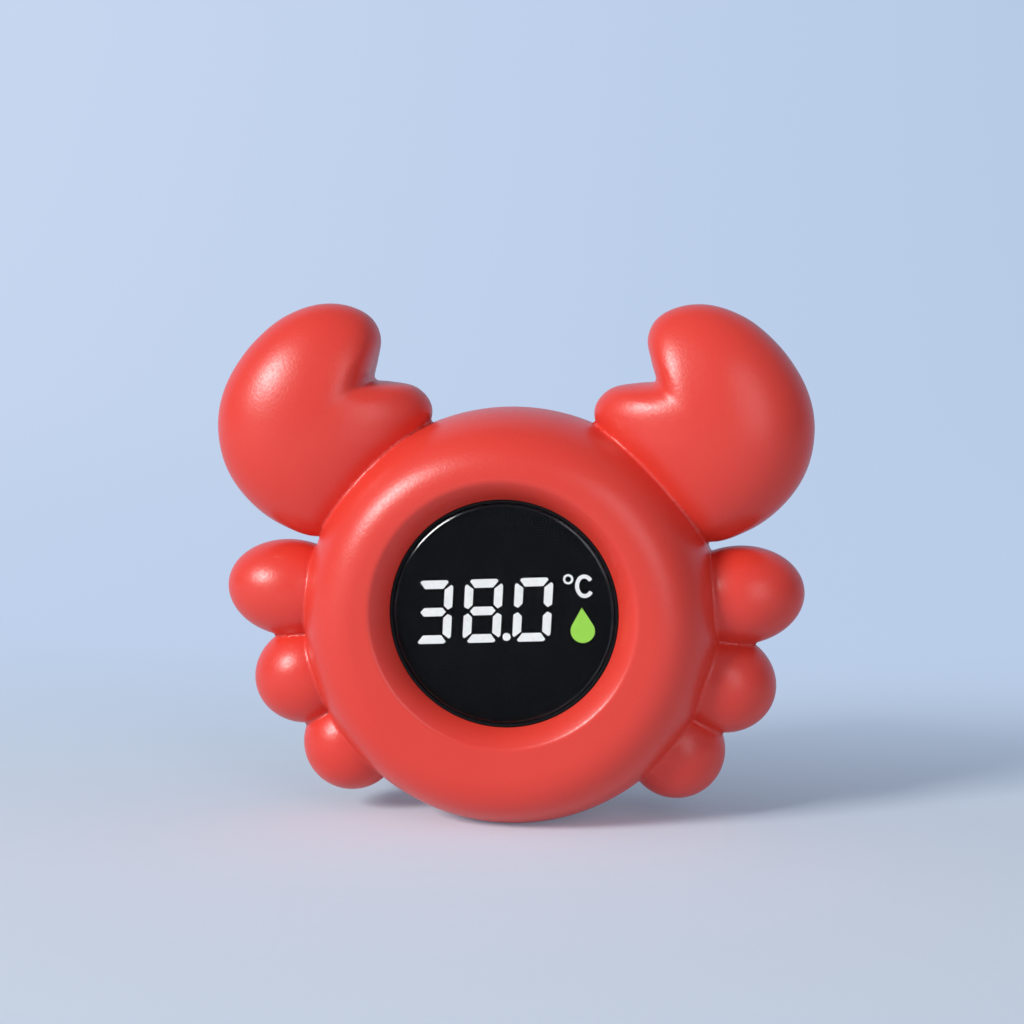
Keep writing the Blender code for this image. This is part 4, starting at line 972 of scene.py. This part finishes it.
steel = bright_metal("turned_stainless_steel", "#D2D0CC", "#BDBBB7", 0.18, 0.34, 1.2)
nickel = bright_metal("nickel_plated_spring_steel", "#D6CFC2", "#C3BBAD", 0.2, 0.3, 0.8)
for name, piece in pieces.items():
    if name != "battery_door":
        dress(piece, steel)
for name in ("coin_cell", "board_screw_upper", "board_screw_lower"):
    dress(node[name], steel)
for name in ("cell_plus_contact", "cell_minus_contact"):
    dress(node[name], nickel)
print("metals dressed")

# %% [markdown]
# ## Rubber, board and the other plastics inside
#
# The seals are moulded silicone rubber, matt and slightly dusty. The board is glass-fibre
# laminate under green solder mask, where the weave of the cloth, about 0.6 mm apart, just
# shows. The chip is moulded epoxy, the sensor a glossy epoxy bead, the lead is PVC, and the
# reflector is white polycarbonate.

# %% The finishes inside
WAVES_PER_SCALE = 20


def speckled(name, first, second, size, low, high, ior=1.5, shine=0.5):
    """A plain moulded or cast finish: two close colours and a varying polish."""
    made, tree, surface, where = new_material(name)
    speck = noise(tree, where, size, detail=3.0)
    add_node(tree, surface, {"Base Color": two_tones(tree, speck, first, second), "IOR": ior,
                             "Specular IOR Level": shine,
                             "Roughness": polish(tree, speck, low, high),
                             "Normal": relief(tree, speck, 0.2, 0.02)})
    return made


def laminate():
    """Green solder mask over woven glass cloth: the weave lifts it in a fine check."""
    made, tree, surface, where = new_material("green_glass_fibre_laminate")
    threads = [add_node(tree, "ShaderNodeTexWave",
                        {"Vector": where, "Scale": repeats(0.6) / WAVES_PER_SCALE},
                        bands_direction=way).outputs["Fac"] for way in ("X", "Z")]
    weave = add_node(tree, "ShaderNodeMath", dict(enumerate(threads)),
                     operation="MULTIPLY").outputs["Value"]
    add_node(tree, surface, {"Base Color": two_tones(tree, weave, "#1E6B3C", "#2B7F49"),
                             "Roughness": 0.32, "Normal": relief(tree, weave, 0.3, 0.02)})
    return made


rubber = speckled("moulded_silicone_rubber", "#0E0E10", "#151517", 0.3, 0.7, 0.9, 1.43, 0.15)
inside = {
    "body_seal": rubber, "door_seal": rubber, "probe_seal": rubber,
    "circuit_board": laminate(),
    "controller_chip": speckled("moulded_epoxy_chip", "#161616", "#202021", 0.1, 0.45, 0.6),
    "temperature_sensor": speckled("cast_epoxy_bead", "#4A2A1C", "#5A3422", 0.8, 0.15, 0.3),
    "sensor_lead": speckled("pvc_lead_sleeve", "#D4D4D0", "#DEDEDA", 0.4, 0.4, 0.55),
    "display_reflector": speckled("white_polycarbonate_reflector", "#E6E6E2", "#F0F0EC", 0.5,
                                  0.4, 0.55, 1.58),
}
for name, material in inside.items():
    dress(node[name], material)
dress(gasket, rubber)
print("inside pieces dressed:", len(inside))

# %% [markdown]
# ## Studio
#
# The photograph is a plain pale blue studio with no visible line between floor and wall. A
# floor that curves up into a wall does that. In front it is matt paper with only a trace of
# glow, which keeps the shadow. Further back it turns into a pale blue that is as bright as its
# colours are written, so that the wall doesn't need lamps of its own: only the camera,
# reflections and clear pieces see that glow, and it puts no light on the object. That glow runs
# from lighter on the left to darker on the right, which is painted light standing in for the
# key light falling on the wall from the left. The key light is a soft panel on the left in
# front, far enough away to light the floor evenly, so the shadow falls to the right and back.
# A larger, weaker panel on the right lifts the shaded side. Lengths in this cell are metres and
# the panels' power is in watts.

# %% Floor, wall and lights
FLOOR_FRONT, FLOOR_BACK, FLOOR_SIDE = -3.0, 0.9, 5.0
BEND = 0.8
WALL_HEIGHT = 4.0
GLOW_STARTS, GLOW_FULL = -0.05, 0.2
GLOW_IN_FRONT = 0.12
SKY_COLOUR = "#DCE6FC"
SKY_STRENGTH = 0.36


def seamless_floor():
    """A sweep of paper: flat in front, then a quarter circle up into a wall."""
    bm = bmesh.new()
    profile = [(FLOOR_FRONT, 0.0), (FLOOR_BACK, 0.0)]
    profile += [(FLOOR_BACK + BEND * math.sin(t), BEND - BEND * math.cos(t))
                for t in np.linspace(0.1, math.pi / 2, 16)]
    profile.append((FLOOR_BACK + BEND, WALL_HEIGHT))
    rows = [[bm.verts.new((x, y, z)) for x in (-FLOOR_SIDE, FLOOR_SIDE)] for y, z in profile]
    for row, following in zip(rows, rows[1:]):
        bm.faces.new((row[0], row[1], following[1], following[0]))
    sweep = finish_mesh("paper_sweep", bm, sharp=60)
    made, tree, surface, where = new_material("pale_blue_paper_with_painted_wall_light")
    fibre = noise(tree, where, 2.0)
    add_node(tree, surface, {"Base Color": two_tones(tree, fibre, "#E6F1FB", "#E8F3FD"),
                             "Roughness": 0.9, "Specular IOR Level": 0.1})
    parts = add_node(tree, "ShaderNodeSeparateXYZ", {"Vector": where})
    # Painted light: the wall's glow runs from lighter on the left to darker on the right, standing
    # in for the key light from the left.
    sideways = add_node(tree, "ShaderNodeMapRange", {"Value": parts.outputs["X"],
                                                     "From Min": -0.75, "From Max": 0.45})
    blue = two_tones(tree, sideways.outputs["Result"], "#C9D8F1", "#B3C8E5")
    path = tree.nodes.new("ShaderNodeLightPath").outputs
    seen = add_node(tree, "ShaderNodeMath", {0: path["Is Camera Ray"], 1: path["Is Glossy Ray"]},
                    operation="ADD")
    shown = add_node(tree, "ShaderNodeMath", {0: seen.outputs["Value"],
                                              1: path["Is Transmission Ray"]},
                     operation="ADD", use_clamp=True)
    glow = add_node(tree, "ShaderNodeEmission", {"Color": blue,
                                                 "Strength": shown.outputs["Value"]})
    back = add_node(tree, "ShaderNodeMapRange", {"Value": parts.outputs["Y"],
                                                 "From Min": GLOW_STARTS, "From Max": GLOW_FULL,
                                                 "To Min": GLOW_IN_FRONT},
                    interpolation_type="SMOOTHSTEP")
    blend = add_node(tree, "ShaderNodeMixShader", {"Fac": back.outputs["Result"],
                                                   1: surface.outputs["BSDF"],
                                                   2: glow.outputs["Emission"]})
    add_node(tree, tree.nodes["Material Output"], {"Surface": blend.outputs["Shader"]})
    dress(sweep, made)
    return sweep


def panel_light(name, place, aim, size, power, colour):
    """A soft rectangular panel that looks at a point."""
    light = bpy.data.lights.new(name, "AREA")
    light.shape = "RECTANGLE"
    light.size, light.size_y = size
    light.energy = power
    light.color = linear(colour)[:3]
    made = placed(name, light)
    made.location = place
    made.rotation_euler = (Vector(aim) - Vector(place)).to_track_quat("-Z", "Y").to_euler()
    return made


seamless_floor()
panel_light("key_panel", place=(-1.35, -1.23, 1.0), aim=(0, 0, 0.04), size=(0.6, 0.6),
            power=36.0, colour="#FFFFFF")
panel_light("fill_panel", place=(0.9, -1.57, 0.6), aim=(0, 0, 0.05), size=(0.8, 1.3),
            power=6.6, colour="#F6F8FF")
world = bpy.data.worlds.new("pale_blue_studio")
bpy.context.scene.world = world
world.use_nodes = True
add_node(world.node_tree, world.node_tree.nodes["Background"],
         {"Color": linear(SKY_COLOUR), "Strength": SKY_STRENGTH})
bpy.context.scene.view_settings.view_transform = "Standard"
print("studio ready")

# %% [markdown]
# ## Camera
#
# The photograph was taken from a little above and a little to the right, with a fairly long
# lens. The camera looks at a point a little above the body's centre, because the body sits in
# the lower half of the frame. Its place follows from two angles and a distance.

# %% Place the camera
CAMERA_TO_THE_RIGHT = 6.5
CAMERA_ABOVE = 6.5
CAMERA_DISTANCE = 0.400
LENS_LENGTH = 75.3
SENSOR_WIDTH = 36.0
BODY_BELOW_MIDDLE = 19.1
BODY_RIGHT_OF_MIDDLE = 0.15
right = math.radians(CAMERA_TO_THE_RIGHT)
above = math.radians(CAMERA_ABOVE)
towards = Vector((math.sin(right) * math.cos(above), -math.cos(right) * math.cos(above),
                  math.sin(above)))
sideways = Vector((math.cos(right), math.sin(right), 0))
upwards = towards.cross(sideways).normalized()
aim = metres(0, 0, 0) + (upwards * BODY_BELOW_MIDDLE - sideways * BODY_RIGHT_OF_MIDDLE) * MM
data = bpy.data.cameras.new("photo_camera")
data.sensor_width = SENSOR_WIDTH
data.lens = LENS_LENGTH
data.clip_start = 0.01
camera = placed("photo_camera", data)
camera.location = aim + towards * CAMERA_DISTANCE
camera.rotation_euler = (-towards).to_track_quat("-Z", "Y").to_euler()
bpy.context.scene.camera = camera
print("camera at mm:", [round(v / MM) for v in camera.location])
